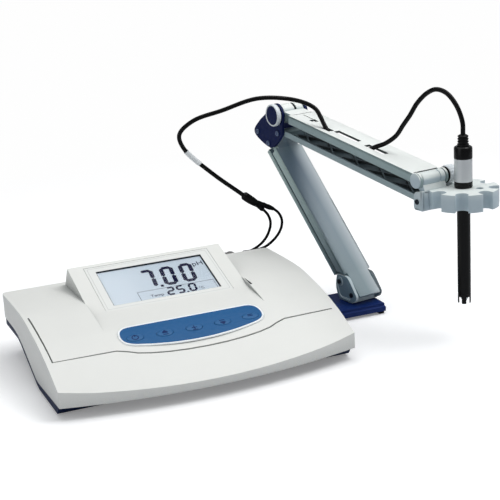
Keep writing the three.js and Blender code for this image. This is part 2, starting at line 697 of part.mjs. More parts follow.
function elbowKnob() {
  const body = eye(ELBOW_TOP, KNOB.radius, KNOB.from, KNOB.to, 24);
  const hub = eye(ELBOW_TOP, 7, KNOB.to - 1, -RUNNING_GAP, 16);
  const recess = eye(ELBOW_TOP, 10.6, KNOB.from - 1, KNOB.from + 1.2, 24);
  const thread = rodX(-ELBOW_TOP[0], ELBOW_TOP[1], BOLT_RADIUS + RUNNING_GAP, -4.2, 5);
  return body.add(hub).subtract(recess).subtract(thread);
}

function elbowKnobCap() {
  return eye(ELBOW_TOP, 10.3, KNOB.from + 0.2, KNOB.from + 0.9, 24);
}

// The upper arm: an inverted channel with cable slots, a barrel on the elbow and a round ear on each side at the head.
function upperArmChannel() {
  const { length } = UPPER_FRAME;
  const top = 5.5;
  const web = 2.4;
  const flange = -4;
  const wideFrom = 23;
  const inside = [INSIDE, ARM_WIDTH - INSIDE];
  let arm = union(
    eye(ELBOW_TOP, 10.6, ...inside, 24),
    bar(UPPER_FRAME, 3, wideFrom + 3, top - web, top, ...inside),
    bar(UPPER_FRAME, wideFrom, length - 7.8, top - web, top, 0, ARM_WIDTH),
    bar(UPPER_FRAME, wideFrom, length, flange, top, 0, 2.6),
    bar(UPPER_FRAME, wideFrom, length, flange, top, ARM_WIDTH - 2.6, ARM_WIDTH),
    bar(UPPER_FRAME, wideFrom, wideFrom + 2.4, flange, top, 0, ARM_WIDTH),
    eye(HEAD_TOP, 7.6, 0, 2.6, 18),
    eye(HEAD_TOP, 7.6, ARM_WIDTH - 2.6, ARM_WIDTH, 18),
  );
  // A dark ring groove round the barrel, and the openings that the cable passes through.
  const ring = eye(ELBOW_TOP, 12, 18.4, 21, 24).subtract(eye(ELBOW_TOP, 9.2, 18, 22, 24));
  arm = arm.subtract(ring.subtract(bar(UPPER_FRAME, 6, 40, -12, 12, 10, 30)));
  for (const [from, to, middle] of CABLE_SLOTS) {
    arm = arm.subtract(bar(UPPER_FRAME, from, to, 0, 12, middle - 3.4, middle + 3.4));
  }
  // A shallow line that leads to the first slot.
  arm = arm.subtract(bar(UPPER_FRAME, 28, 48, top - 0.7, top + 1, SLOT_X + 1.6, SLOT_X + 2.8));
  return arm.subtract(bore(ELBOW_TOP, BOLT_RADIUS)).subtract(bore(HEAD_TOP, BOLT_RADIUS));
}

const SLOT_X = 13.5;
const ENTRY_X = 8.9; // where the loop comes through
// The openings for the cable, as [from, to, middle].
const CABLE_SLOTS = [[47, 55, SLOT_X], [75, 88.5, ENTRY_X], [91, 129, SLOT_X], [142, 173, SLOT_X]];

// The ribbed lower link of the upper arm, a channel that is open on top.
function upperArmLink() {
  const { length } = UPPER_LINK_FRAME;
  const from = INSIDE;
  const to = ARM_WIDTH - INSIDE;
  let link = union(
    bar(UPPER_LINK_FRAME, 3, length - 3, -1.7, 0.5, from, to),
    bar(UPPER_LINK_FRAME, 6, length - 6, -1.7, 4.2, from, from + 2.2),
    bar(UPPER_LINK_FRAME, 6, length - 6, -1.7, 4.2, to - 2.2, to),
    eye(ELBOW_LOW, 4.2, from, to),
    eye(HEAD_LOW, 4.2, from, to),
  );
  // Crossed ribs, drawn flat and lifted onto the link.
  const cells = 5;
  const cell = (length - 20) / cells;
  const reach = to - from - 2;
  for (let i = 0; i < cells; i += 1) {
    const middle = 10 + cell * (i + 0.5);
    for (const way of [-1, 1]) {
      const angle = Math.atan2(cell, reach) * way;
      link = link.add(ribAcross(middle, Math.hypot(cell, reach) - 1.5, angle));
    }
  }
  return link.subtract(bore(ELBOW_LOW, PIN_RADIUS)).subtract(bore(HEAD_LOW, PIN_RADIUS));
}

function ribAcross(s, length, angle) {
  const [forward, height] = UPPER_LINK_FRAME.at(s, 1.9);
  const geometry = new THREE.BoxGeometry(length, 1.6, 3.2);
  geometry.rotateZ(angle);
  const fall = Math.atan2(ELBOW_TOP[1] - HEAD_TOP[1], HEAD_TOP[0] - ELBOW_TOP[0]);
  geometry.rotateX(fall);
  geometry.translate(ARM_WIDTH / 2, -forward, height);
  return toSolid(geometry);
}

// ---- head ---------------------------------------------------------------------------------------------------------

const [STAR_X, STAR_FORWARD] = ELECTRODE_AXIS;
const SPLIT = 117.4; // the star is cut here, forward of the head bracket
const HEAD_BLOCK = { from: 102.5, to: 112.4, wall: 115.2, bottom: 133.6, top: 156 };

// The whole star: a disc with a round-ended notch between each two fingers.
function star() {
  const { radius, notch, notchAt, fingers, bottom, top } = STAR;
  let disc = rodZ(0, 0, radius, bottom, top, 32);
  const cut = rodZ(notchAt, 0, notch, bottom - 1, top + 1, 16)
    .add(box(notchAt, radius + 5, -notch, notch, bottom - 1, top + 1));
  for (let i = 0; i < fingers; i += 1) {
    disc = disc.subtract(cut.rotate([0, 0, -89.5 + (360 / fingers) * i]));
  }
  return disc.translate([STAR_X, -STAR_FORWARD, 0]);
}

function headBracket() {
  const inside = [CHEEK, ARM_WIDTH - CHEEK];
  const cheek = sideOutline([
    [HEAD_BLOCK.from, 135.4], [HEAD_BLOCK.from + 1.8, HEAD_BLOCK.bottom], [HEAD_BLOCK.wall, HEAD_BLOCK.bottom],
    [HEAD_BLOCK.wall, HEAD_BLOCK.top - 3], [HEAD_BLOCK.from + 3, 151.5], [HEAD_BLOCK.from, 148],
  ]);
  const neck = sideOutline([
    [102, 161], [103.5, 156.8], [109, 151], [HEAD_BLOCK.wall, 150], [HEAD_BLOCK.wall, HEAD_BLOCK.top - 3],
    [112.5, 160],
  ]);
  const wall = box(0, ARM_WIDTH, -HEAD_BLOCK.wall, -HEAD_BLOCK.to, HEAD_BLOCK.bottom, HEAD_BLOCK.top - 3);
  const floor = box(0, ARM_WIDTH, -HEAD_BLOCK.to - 0.5, -HEAD_BLOCK.from - 2, HEAD_BLOCK.bottom, 136.6);
  const starPart = star()
    .intersect(box(-20, 100, -SPLIT, -60, 100, 200))
    .subtract(box(-20, ARM_WIDTH + 3.2, -HEAD_BLOCK.to - 0.4, -60, 100, 200));
  return union(
    alongX(cheek, ...NEAR),
    alongX(cheek, ...FAR),
    eye(HEAD_TOP, 7.2, ...inside, 18),
    alongX(neck, ...inside),
    wall,
    floor,
    starPart,
  ).subtract(bore(HEAD_LOW, PIN_RADIUS)).subtract(bore(HEAD_TOP, BOLT_RADIUS));
}

const SPARE_HOLE = { x: 48, forward: 142.5, radius: 3.6 };

function electrodeHolder() {
  const holder = star()
    .subtract(box(-20, 100, -SPLIT - 0.3, -60, 100, 200))
    .subtract(rodZ(STAR_X, -STAR_FORWARD, SHAFT_RADIUS + 0.4, 100, 200, 18));
  return holder.subtract(rodZ(SPARE_HOLE.x, -SPARE_HOLE.forward, SPARE_HOLE.radius, 100, 200, 12));
}

function headBolt() {
  return eye(HEAD_TOP, BOLT_RADIUS, -1, ARM_WIDTH + 7, 12)
    .add(eye(HEAD_TOP, 5, -2.2, -RUNNING_GAP, 12));
}

function headKnob() {
  const body = eye(HEAD_TOP, 9, ARM_WIDTH + 2.2, ARM_WIDTH + 11.5, 24);
  const hub = eye(HEAD_TOP, 6, ARM_WIDTH + RUNNING_GAP, ARM_WIDTH + 3, 14);
  return body.add(hub).subtract(rodX(-HEAD_TOP[0], HEAD_TOP[1], BOLT_RADIUS + RUNNING_GAP, 20, ARM_WIDTH + 7.5));
}

// ---- electrode ----------------------------------------------------------------------------------------------------

function onElectrode(profile, segments = 18) {
  return turned(STAR_X, -STAR_FORWARD, profile, segments);
}

// The shaft, hollow at its lower end, with a notched guard round the bulb.
function electrodeShaft() {
  const bottom = 37;
  const shaft = onElectrode([
    [0, bottom], [SHAFT_RADIUS - 0.8, bottom], [SHAFT_RADIUS, bottom + 1.5], [SHAFT_RADIUS, CAP.bottom - 0.2],
    [0, CAP.bottom - 0.2],
  ]);
  const boreRadius = SHAFT_RADIUS - 1.4;
  const hollow = onElectrode([[0, bottom - 1], [boreRadius, bottom - 1], [boreRadius, 56], [0, 56]]);
  const notch = 2.6;
  const notchX = box(STAR_X - 10, STAR_X + 10, -STAR_FORWARD - notch, -STAR_FORWARD + notch, bottom - 1, 44);
  const notchY = box(STAR_X - notch, STAR_X + notch, -STAR_FORWARD - 10, -STAR_FORWARD + 10, bottom - 1, 44);
  return shaft.subtract(hollow).subtract(notchX).subtract(notchY);
}

function electrodeBulb() {
  return onElectrode([
    [0, 39.5], [2, 39.9], [3.3, 41.2], [3.8, 43], [3.3, 44.9], [2.4, 46.2], [2.4, 55.7], [0, 55.7],
  ], 12);
}

function electrodeCap() {
  return onElectrode([
    [0, CAP.bottom], [CAP.radius, CAP.bottom], [CAP.radius, 158.6], [CAP.radius - 0.3, 159],
    [CAP.radius - 0.3, 181.5], [CAP.radius, 182], [CAP.radius, CAP.top - 1.5], [CAP.radius - 1.5, CAP.top],
    [0, CAP.top],
  ]);
}

function strainRelief() {
  const bottom = CAP.top + 0.05;
  return onElectrode([
    [0, bottom], [5.6, bottom], [5.3, bottom + 8.5], [4.4, bottom + 10.5], [3, bottom + 11.2], [0, bottom + 11.2],
  ], 14);
}

// ---- cables -------------------------------------------------------------------------------------------------------

// From the strain relief, over and down through the slot in the upper arm. Arm frame.
const UPPER_CABLE = [
  [STAR_X, -STAR_FORWARD, 204.6], [STAR_X - 0.6, -128.6, 216], [38, -122, 231], [35, -112, 242], [32, -101, 245],
  [30, -90, 240.8], [27.3, -78, 230], [25.2, -69, 217], [24, -60, 206.5], [22.6, -50, 194.5], [17.5, -39.5, 186.3],
  [13.3, -29, 181.9], [SLOT_X, -20, 178], [SLOT_X, -10, 175.6], [SLOT_X, 4, 175.2], [SLOT_X, 14, 176],
];
// From the slot, up past the elbow, out to the left and down behind the meter. Arm frame.
const LOOP_CABLE = [
  [SLOT_X, 14.8, 176.1], [12.2, 24, 177.2], [10.6, 33, 179.2], [9.4, 39, 182.4], [ENTRY_X, 43.6, 186.8],
  [ENTRY_X - 0.4, 47, 191.2], [8.2, 51, 196], [7.8, 55.5, 202.5], [6, 60.5, 210], [0.6, 67, 215.6],
  [-12.9, 82, 221.2], [-45, 95, 224.5], [-76, 115, 214], [-104, 128, 205.5], [-117, 136, 192], [-112, 138, 176],
  [-82, 134, 145], [-48.6, 125.2, 115.6],
];
// From the splitter to the plugs. Meter frame.
const SPLITTER = [[133.5, 127.9, 115], [140.5, 127.5, 109.4], [148, 126.9, 103.6]];
const BOOTS = [
  [[146, 127, 105], [150.4, 126.8, 100.8], [154, 126.5, 96.4]],
  [[146, 127, 105], [156, 126.5, 101.2], [166, 126, 96]],
];
const ELECTRODE_LEAD = [
  [152, 126.6, 98.8], [157.3, 126.6, 93.2], [160.8, 127, 87.4], [162.6, 128, 79.5], [161, 131, 68.7],
  [157, 135, 59.5], [151, 144, 50], [138, 151, 43], [122, 151, 44], [BNC_X + 1.5, 145, 48.5], [BNC_X, 136.5, 49],
];
const PROBE_LEAD = [
  [166.9, 126, 95.4], [172.1, 126.3, 90.4], [176, 127.3, 82], [175.6, 129, 72.6], [170.5, 132, 62],
  [158, 136, 51.5], [145, 139, 48.5], [PROBE_SOCKET_X + 2, 138.5, 49], [PROBE_SOCKET_X, 132.5, 49],
];

// The moulded splitter that the loop ends in, with a boot for each lead; it is one piece with the electrode's lead.
function splitter() {
  const [nearBoot, farBoot] = BOOTS;
  return union(cable(SPLITTER, 4, 3, 5), cable(nearBoot, 2.8, 3, 4), cable(farBoot, 2.8, 3, 4));
}

// ---- assembly -----------------------------------------------------------------------------------------------------

const meter = new THREE.Group();

function buildHousing() {
  addPiece(meter, "upper_housing", upperHousing(), WHITE_SHELL);
  addPiece(meter, "lower_housing", lowerHousing(), NAVY_SHELL);
  SCREW_PLACES.forEach((place, i) => addPiece(meter, `housing_screw_${i + 1}`, housingScrew(place), METAL));
  addPiece(meter, "rear_leg_left", rearLeg(-124), LEG_GREY);
  addPiece(meter, "rear_leg_right", rearLeg(124), LEG_GREY);
  addPiece(meter, "front_foot_left", frontFoot(-118), RUBBER);
  addPiece(meter, "front_foot_right", frontFoot(118), RUBBER);
}

function buildDisplay() {
  addPiece(meter, "display_window", displayWindow(), WINDOW_FRAME);
  addPiece(meter, "display_lens", displayLens(), CLEAR);
  addPiece(meter, "lcd_panel", lcdPanel(), LCD_GLASS);
  addPiece(meter, "lcd_carrier", lcdCarrier(), BLACK);
  addPiece(meter, "main_board", mainBoard(), BOARD_GREEN);
}

function buildKeypad() {
  addPiece(meter, "keypad_panel", keypadPanel(), KEY_BLUE);
  for (let i = -2; i <= 2; i += 1) addPiece(meter, `key_${i + 3}`, key(i), KEY_BLUE);
  addPiece(meter, "keypad_board", keypadBoard(), BOARD_GREEN);
}

function buildConnectors() {
  addPiece(meter, "bnc_socket", socket(BNC_X, 6, 8), METAL);
  addPiece(meter, "probe_socket", socket(PROBE_SOCKET_X, 5, 6.6), BLACK);
  addPiece(meter, "power_jack", powerJack(), BLACK);
  addPiece(meter, "bnc_plug", plug(BNC_X, 7, 23), METAL);
  addPiece(meter, "probe_plug", plug(PROBE_SOCKET_X, 5.5, 19), BLACK);
  addPiece(meter, "electrode_lead", cable(ELECTRODE_LEAD, LEAD_RADIUS, 22, 3).add(splitter()), BLACK);
  addPiece(meter, "probe_lead", cable(PROBE_LEAD, LEAD_RADIUS, 22, 3), BLACK);
}

function buildBasePlate() {
  addPiece(meter, "arm_base_plate", armBasePlate(), NAVY_PLATE);
  addPiece(meter, "plate_foot", plateFoot(), RUBBER);
  addPiece(meter, "swivel_post", swivelPost(), METAL);
  PLATE_SCREWS.forEach((place, i) => addPiece(meter, `plate_screw_${i + 1}`, plateScrew(place), METAL));
}

function buildArm() {
  const arm = new THREE.Group();
  arm.position.set(ARM_ORIGIN.x, ARM_ORIGIN.y, 0);
  arm.rotation.z = ARM_YAW;
  meter.add(arm);
  addPiece(arm, "base_bracket", baseBracket(), ARM_GREY);
  addPiece(arm, "base_pin_front", pin(BASE_FRONT), METAL);
  addPiece(arm, "base_pin_rear", pin(BASE_REAR), METAL);
  addPiece(arm, "lower_arm_channel", lowerArmChannel(), ARM_GREY);
  addPiece(arm, "lower_arm_link", lowerArmLink(), ARM_GREY);
  addPiece(arm, "elbow_plate_near", elbowPlate(NEAR), NAVY_PLATE);
  addPiece(arm, "elbow_plate_far", elbowPlate(FAR), NAVY_PLATE);
  addPiece(arm, "elbow_pin_front", pin(ELBOW_FRONT), METAL);
  addPiece(arm, "elbow_pin_rear", pin(ELBOW_REAR), METAL);
  addPiece(arm, "elbow_pin_low", pin(ELBOW_LOW), METAL);
  addPiece(arm, "elbow_bolt", elbowBolt(), METAL);
  addPiece(arm, "elbow_knob", elbowKnob(), ARM_WHITE);
  addPiece(arm, "elbow_knob_cap", elbowKnobCap(), NAVY_PLATE);
  addPiece(arm, "upper_arm_channel", upperArmChannel(), ARM_WHITE);
  addPiece(arm, "upper_arm_link", upperArmLink(), ARM_GREY);
  addPiece(arm, "head_bracket", headBracket(), ARM_GREY);
  addPiece(arm, "head_bolt", headBolt(), METAL);
  addPiece(arm, "head_pin", pin(HEAD_LOW), METAL);
  addPiece(arm, "head_knob", headKnob(), ARM_WHITE);
  addPiece(arm, "electrode_holder", electrodeHolder(), ARM_GREY);
  addPiece(arm, "electrode_shaft", electrodeShaft(), BLACK);
  addPiece(arm, "electrode_bulb", electrodeBulb(), BULB_GLASS);
  addPiece(arm, "electrode_cap", electrodeCap(), BLACK);
  addPiece(arm, "strain_relief", strainRelief(), BLACK);
  addPiece(arm, "upper_cable", cable(UPPER_CABLE, CABLE_RADIUS, 36), BLACK);
  addPiece(arm, "loop_cable", cable(LOOP_CABLE, CABLE_RADIUS, 40), BLACK);
}

buildHousing();
buildDisplay();
buildKeypad();
buildConnectors();
buildBasePlate();
buildArm();

// The origin is on the bench, under the middle of the whole object's box.
const middle = new THREE.Box3().setFromObject(meter, true).getCenter(new THREE.Vector3());
meter.position.set(-middle.x, -middle.y, 0);

export default meter;
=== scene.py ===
"""The looks of a benchtop pH meter with a jointed electrode arm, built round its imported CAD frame.

Lengths are in millimetres until a point is placed. Two frames are used: the meter's own, with its origin
on the bench under the middle of the housing, and the arm's own, given as (across, forward, height).
"""

import json
import math

import bmesh
import bpy
from mathutils import Matrix, Vector
from mathutils.bvhtree import BVHTree


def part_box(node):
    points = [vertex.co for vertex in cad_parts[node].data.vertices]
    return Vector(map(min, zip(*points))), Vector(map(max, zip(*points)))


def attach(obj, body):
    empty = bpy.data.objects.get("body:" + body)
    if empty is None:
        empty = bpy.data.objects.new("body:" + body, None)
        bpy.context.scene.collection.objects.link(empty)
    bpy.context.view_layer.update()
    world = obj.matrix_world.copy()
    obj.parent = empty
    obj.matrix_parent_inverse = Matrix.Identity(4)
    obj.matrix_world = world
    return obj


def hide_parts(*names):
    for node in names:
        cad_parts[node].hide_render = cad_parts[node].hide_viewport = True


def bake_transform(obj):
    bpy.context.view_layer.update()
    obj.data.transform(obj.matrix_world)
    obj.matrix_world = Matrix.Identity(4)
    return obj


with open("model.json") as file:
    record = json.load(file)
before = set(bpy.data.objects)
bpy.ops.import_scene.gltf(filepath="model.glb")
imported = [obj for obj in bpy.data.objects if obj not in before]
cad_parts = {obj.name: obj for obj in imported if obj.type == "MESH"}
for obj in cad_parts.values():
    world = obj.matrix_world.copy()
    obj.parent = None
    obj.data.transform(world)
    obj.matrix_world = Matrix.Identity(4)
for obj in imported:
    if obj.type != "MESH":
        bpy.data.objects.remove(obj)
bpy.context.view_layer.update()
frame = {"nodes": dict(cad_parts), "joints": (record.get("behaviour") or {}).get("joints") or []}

MM = 0.001
UP = Vector((0, 0, 1))
JOINTS = {joint["name"]: joint for joint in frame["joints"]}

# ---- frames ----

FOOT_Y = -62  # the front feet, in the meter's own frame


def middle(node):
    low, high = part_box(node)
    return (low + high) / 2


feet_middle = (middle("front_foot_left") + middle("front_foot_right")) / 2
METER = Vector((feet_middle.x, feet_middle.y - FOOT_Y * MM, 0))

# The arm's pivots, as (forward, height). Each link is offset from its partner alike at both ends.
ARM_WIDTH = 34
LOWER_PAIR, UPPER_PAIR = Vector((-20.5, 10.5)), Vector((1, -20.5))
BASE_FRONT, ELBOW_FRONT = Vector((-1.5, 21)), Vector((-145, 163))
ELBOW_TOP, HEAD_TOP = Vector((-127, 197)), Vector((107, 162.5))
BASE_REAR, ELBOW_REAR = BASE_FRONT + LOWER_PAIR, ELBOW_FRONT + LOWER_PAIR
ELBOW_LOW, HEAD_LOW = ELBOW_TOP + UPPER_PAIR, HEAD_TOP + UPPER_PAIR

ACROSS = Vector(JOINTS["lower_arm_tilt"]["axis"]).normalized()
FORWARD = Vector((ACROSS.y, -ACROSS.x, 0))
pivot_middle = Vector(JOINTS["lower_arm_tilt"]["pos_m"])
ARM = pivot_middle - ACROSS * (ARM_WIDTH / 2 * MM) - FORWARD * (BASE_FRONT.x * MM)
ARM.z = 0


def on_meter(x, y, z):
    return METER + Vector((x, y, z)) * MM


def on_arm(across, forward, height):
    return ARM + (ACROSS * across + FORWARD * forward + UP * height) * MM


def on_slope(y, z, tilt):
    """A placer for a sloping face whose origin is at (0, y, z): across, up the slope, out of the face."""
    c, s = math.cos(math.radians(tilt)), math.sin(math.radians(tilt))

    def place(across, up, out):
        return on_meter(across, y + up * c - out * s, z + up * s + out * c)

    return place


on_display = on_slope(80, 81.4, 18.6)
on_keypad = on_slope(-57, 46, 17.3)


def side_view(forward, height, across):
    return on_arm(across, forward, height)


# ---- outlines ----


def rounded(points, radius, steps=6):
    """The closed outline with each corner rounded."""
    out = []
    count = len(points)
    for i, point in enumerate(points):
        corner = Vector(point)
        before, after = Vector(points[i - 1]), Vector(points[(i + 1) % count])
        start = corner + (before - corner) * min(0.48, radius / (before - corner).length)
        end = corner + (after - corner) * min(0.48, radius / (after - corner).length)
        for k in range(steps + 1):
            t = k / steps
            out.append(start * (1 - t) ** 2 + corner * 2 * t * (1 - t) + end * t**2)
    return out


def quadratic(start, control, end, steps):
    a, b, c = Vector(start), Vector(control), Vector(end)
    return [a * (1 - t) ** 2 + b * 2 * t * (1 - t) + c * t**2 for t in (k / steps for k in range(steps))]


def arc(centre, radius, start, end, steps):
    """Points of an arc, angles in degrees, both ends included."""
    out = []
    for k in range(steps + 1):
        angle = math.radians(start + (end - start) * k / steps)
        out.append(Vector(centre) + Vector((math.cos(angle), math.sin(angle))) * radius)
    return out


def ellipse(x, y, rx, ry, steps=48):
    angles = [2 * math.pi * k / steps for k in range(steps)]
    return [Vector((x + rx * math.cos(a), y + ry * math.sin(a))) for a in angles]


def oblong(x0, x1, y0, y1):
    return [(x0, y0), (x1, y0), (x1, y1), (x0, y1)]


def between(a, b, start, end, u):
    """The point at u on the straight run from a at start to b at end."""
    return (a * (end - u) + b * (u - start)) / (end - start)


def spline(points, steps):
    """A centripetal Catmull-Rom curve through the points, with steps samples between each two."""
    ends = [points[0] * 2 - points[1], *points, points[-1] * 2 - points[-2]]
    out = []
    for i in range(1, len(ends) - 2):
        p = ends[i - 1 : i + 3]
        t = [0.0]
        for a, b in zip(p, p[1:]):
            t.append(t[-1] + math.sqrt((b - a).length))
        for k in range(steps):
            u = t[1] + (t[2] - t[1]) * k / steps
            first = [between(p[j], p[j + 1], t[j], t[j + 1], u) for j in range(3)]
            second = [between(first[j], first[j + 1], t[j], t[j + 2], u) for j in range(2)]
            out.append(between(second[0], second[1], t[1], t[2], u))
    out.append(points[-1])
    return out


# ---- meshes ----


def linked(name, data):
    made = bpy.data.objects.new(name, data)
    bpy.context.scene.collection.objects.link(made)
    return made


def as_object(vertices, faces, outward=True):
    mesh = bpy.data.meshes.new("part")
    mesh.from_pydata(vertices, [], faces)
    if outward:
        work = bmesh.new()
        work.from_mesh(mesh)
        bmesh.ops.recalc_face_normals(work, faces=work.faces)
        work.to_mesh(mesh)
        work.free()
    return linked("part", mesh)


def skin(rings, wrapped=False):
    """A closed solid through rings of points, capped at both ends or wrapped round to its first ring."""
    count = len(rings[0])
    total = len(rings) * count
    faces = [] if wrapped else [tuple(range(count)), tuple(range(total - 1, total - count - 1, -1))]
    for low in range(0, total if wrapped else total - count, count):
        high = (low + count) % total
        for i in range(count):
            j = (i + 1) % count
            faces.append((low + i, low + j, high + j, high + i))
    return as_object([point for ring in rings for point in ring], faces)


def layered(levels, place, wrapped=False):
    """A solid through outlines of equal length, each with its height."""
    return skin([[place(p[0], p[1], height) for p in outline] for outline, height in levels], wrapped)


def slab(outline, place, t0, t1):
    """A flat solid: the outline, placed at t0 and at t1, with walls between."""
    return layered([(outline, t0), (outline, t1)], place)


def lathe(profile, place, segments=48):
    """A body of revolution from its profile as (radius, t); place takes two cross coordinates and t."""
    vertices, faces, rings = [], [], []
    for radius, t in profile:
        if radius < 1e-6:
            rings.append([len(vertices)] * segments)
            vertices.append(place(0, 0, t))
            continue
        rings.append(list(range(len(vertices), len(vertices) + segments)))
        vertices += [place(p.x, p.y, t) for p in ellipse(0, 0, radius, radius, segments)]
    for low, high in zip(rings, rings[1:]):
        for k in range(segments):
            j = (k + 1) % segments
            face = tuple(dict.fromkeys((low[k], low[j], high[j], high[k])))
            if len(face) > 2:
                faces.append(face)
    return as_object(vertices, faces)


def tube(samples, radius, sides=20):
    """A round tube through the samples; radius is a number, or one for each sample."""
    radii = radius if isinstance(radius, list) else [radius] * len(samples)
    normal = (samples[1] - samples[0]).normalized().orthogonal().normalized()
    rings = []
    for i, point in enumerate(samples):
        ahead = (samples[min(i + 1, len(samples) - 1)] - samples[max(i - 1, 0)]).normalized()
        normal = (normal - ahead * normal.dot(ahead)).normalized()
        sideways = ahead.cross(normal)
        circle = ellipse(0, 0, radii[i], radii[i], sides)
        rings.append([point + normal * p.x + sideways * p.y for p in circle])
    return skin(rings)


def evaluated(part):
    graph = bpy.context.evaluated_depsgraph_get()
    mesh = bpy.data.meshes.new_from_object(part.evaluated_get(graph))
    part.modifiers.clear()
    part.data = mesh
    return part


def cut(part, *cutters):
    """Cuts the cutters out of the part, and removes them."""
    for cutter in cutters:
        modifier = part.modifiers.new("cut", "BOOLEAN")
        modifier.operation = "DIFFERENCE"
        modifier.solver = "EXACT"
        modifier.object = cutter
    bpy.context.view_layer.update()
    evaluated(part)
    for cutter in cutters:
        bpy.data.objects.remove(cutter)
    return part


def merge(*parts):
    """One object that holds all the parts' faces."""
    work = bmesh.new()
    for part in parts:
        work.from_mesh(part.data)
    mesh = bpy.data.meshes.new("merged")
    work.to_mesh(mesh)
    work.free()
    for part in parts:
        bpy.data.objects.remove(part)
    return linked("merged", mesh)


def soften(part, width, angle=35, segments=2):
    """Rounds the part's sharp edges by width millimetres."""
    modifier = part.modifiers.new("rounding", "BEVEL")
    modifier.width = width * MM
    modifier.segments = segments
    modifier.limit_method = "ANGLE"
    modifier.angle_limit = math.radians(angle)
    return part


def shade(part, angle=32):
    part.data.shade_smooth()
    part.data.set_sharp_from_angle(angle=math.radians(angle))
    return part


def smooth_by_angle(angle):
    """A node group that welds a mesh and shades it smooth, except across edges sharper than angle."""
    group = bpy.data.node_groups.new("smooth_by_angle", "GeometryNodeTree")
    group.interface.new_socket("Geometry", in_out="INPUT", socket_type="NodeSocketGeometry")
    group.interface.new_socket("Geometry", in_out="OUTPUT", socket_type="NodeSocketGeometry")
    source = group.nodes.new("NodeGroupInput")
    weld = group.nodes.new("GeometryNodeMergeByDistance")
    weld.inputs["Distance"].default_value = 2e-6
    faces = group.nodes.new("GeometryNodeSetShadeSmooth")
    edges = group.nodes.new("GeometryNodeSetShadeSmooth")
    edges.domain = "EDGE"
    edges.inputs["Shade Smooth"].default_value = False
    edge_angle = group.nodes.new("GeometryNodeInputMeshEdgeAngle")
    sharper = group.nodes.new("ShaderNodeMath")
    sharper.operation = "GREATER_THAN"
    sharper.inputs[1].default_value = math.radians(angle)
    target = group.nodes.new("NodeGroupOutput")
    link = group.links.new
    link(source.outputs[0], weld.inputs["Geometry"])
    link(weld.outputs[0], faces.inputs["Geometry"])
    link(faces.outputs[0], edges.inputs["Geometry"])
    link(edge_angle.outputs["Unsigned Angle"], sharper.inputs[0])
    link(sharper.outputs[0], edges.inputs["Selection"])
    link(edges.outputs[0], target.inputs[0])
    return group


SMOOTHING = smooth_by_angle(28)


def refine(node, material, rounding):
    """Gives a carried-over CAD node smooth shading, rounded edges and its material."""
    part = frame["nodes"][node]
    weld = part.modifiers.new("weld", "WELD")
    weld.merge_threshold = 2e-6
    flat = part.modifiers.new("flat faces", "DECIMATE")
    flat.decimate_type = "DISSOLVE"
    flat.angle_limit = math.radians(0.4)
    if rounding:
        soften(part, rounding)
    part.modifiers.new("shading", "NODES").node_group = SMOOTHING
    weighted = part.modifiers.new("normals", "WEIGHTED_NORMAL")
    weighted.keep_sharp = True
    part.data.materials.clear()
    part.data.materials.append(material)


def name_piece(part, name, slot, material):
    part.name = name
    part.data.materials.clear()
    part.data.materials.append(material)


def place_piece(part, name, body, slot, material, *nodes):
    """Names a finished piece, gives it its material and body, and hides the CAD nodes it stands for."""
    name_piece(part, name, slot, material)
    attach(part, body)
    if nodes:
        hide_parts(*nodes)


def assemble(parts, rounding, *piece):
    """Rounds the parts' edges, joins them and places the result."""
    for part in parts:
        evaluated(soften(part, rounding) if rounding else part)
    place_piece(shade(merge(*parts)), *piece)


# ---- materials ----


def srgb(r, g, b):
    return tuple((c / 255) ** 2.2 for c in (r, g, b)) + (1,)


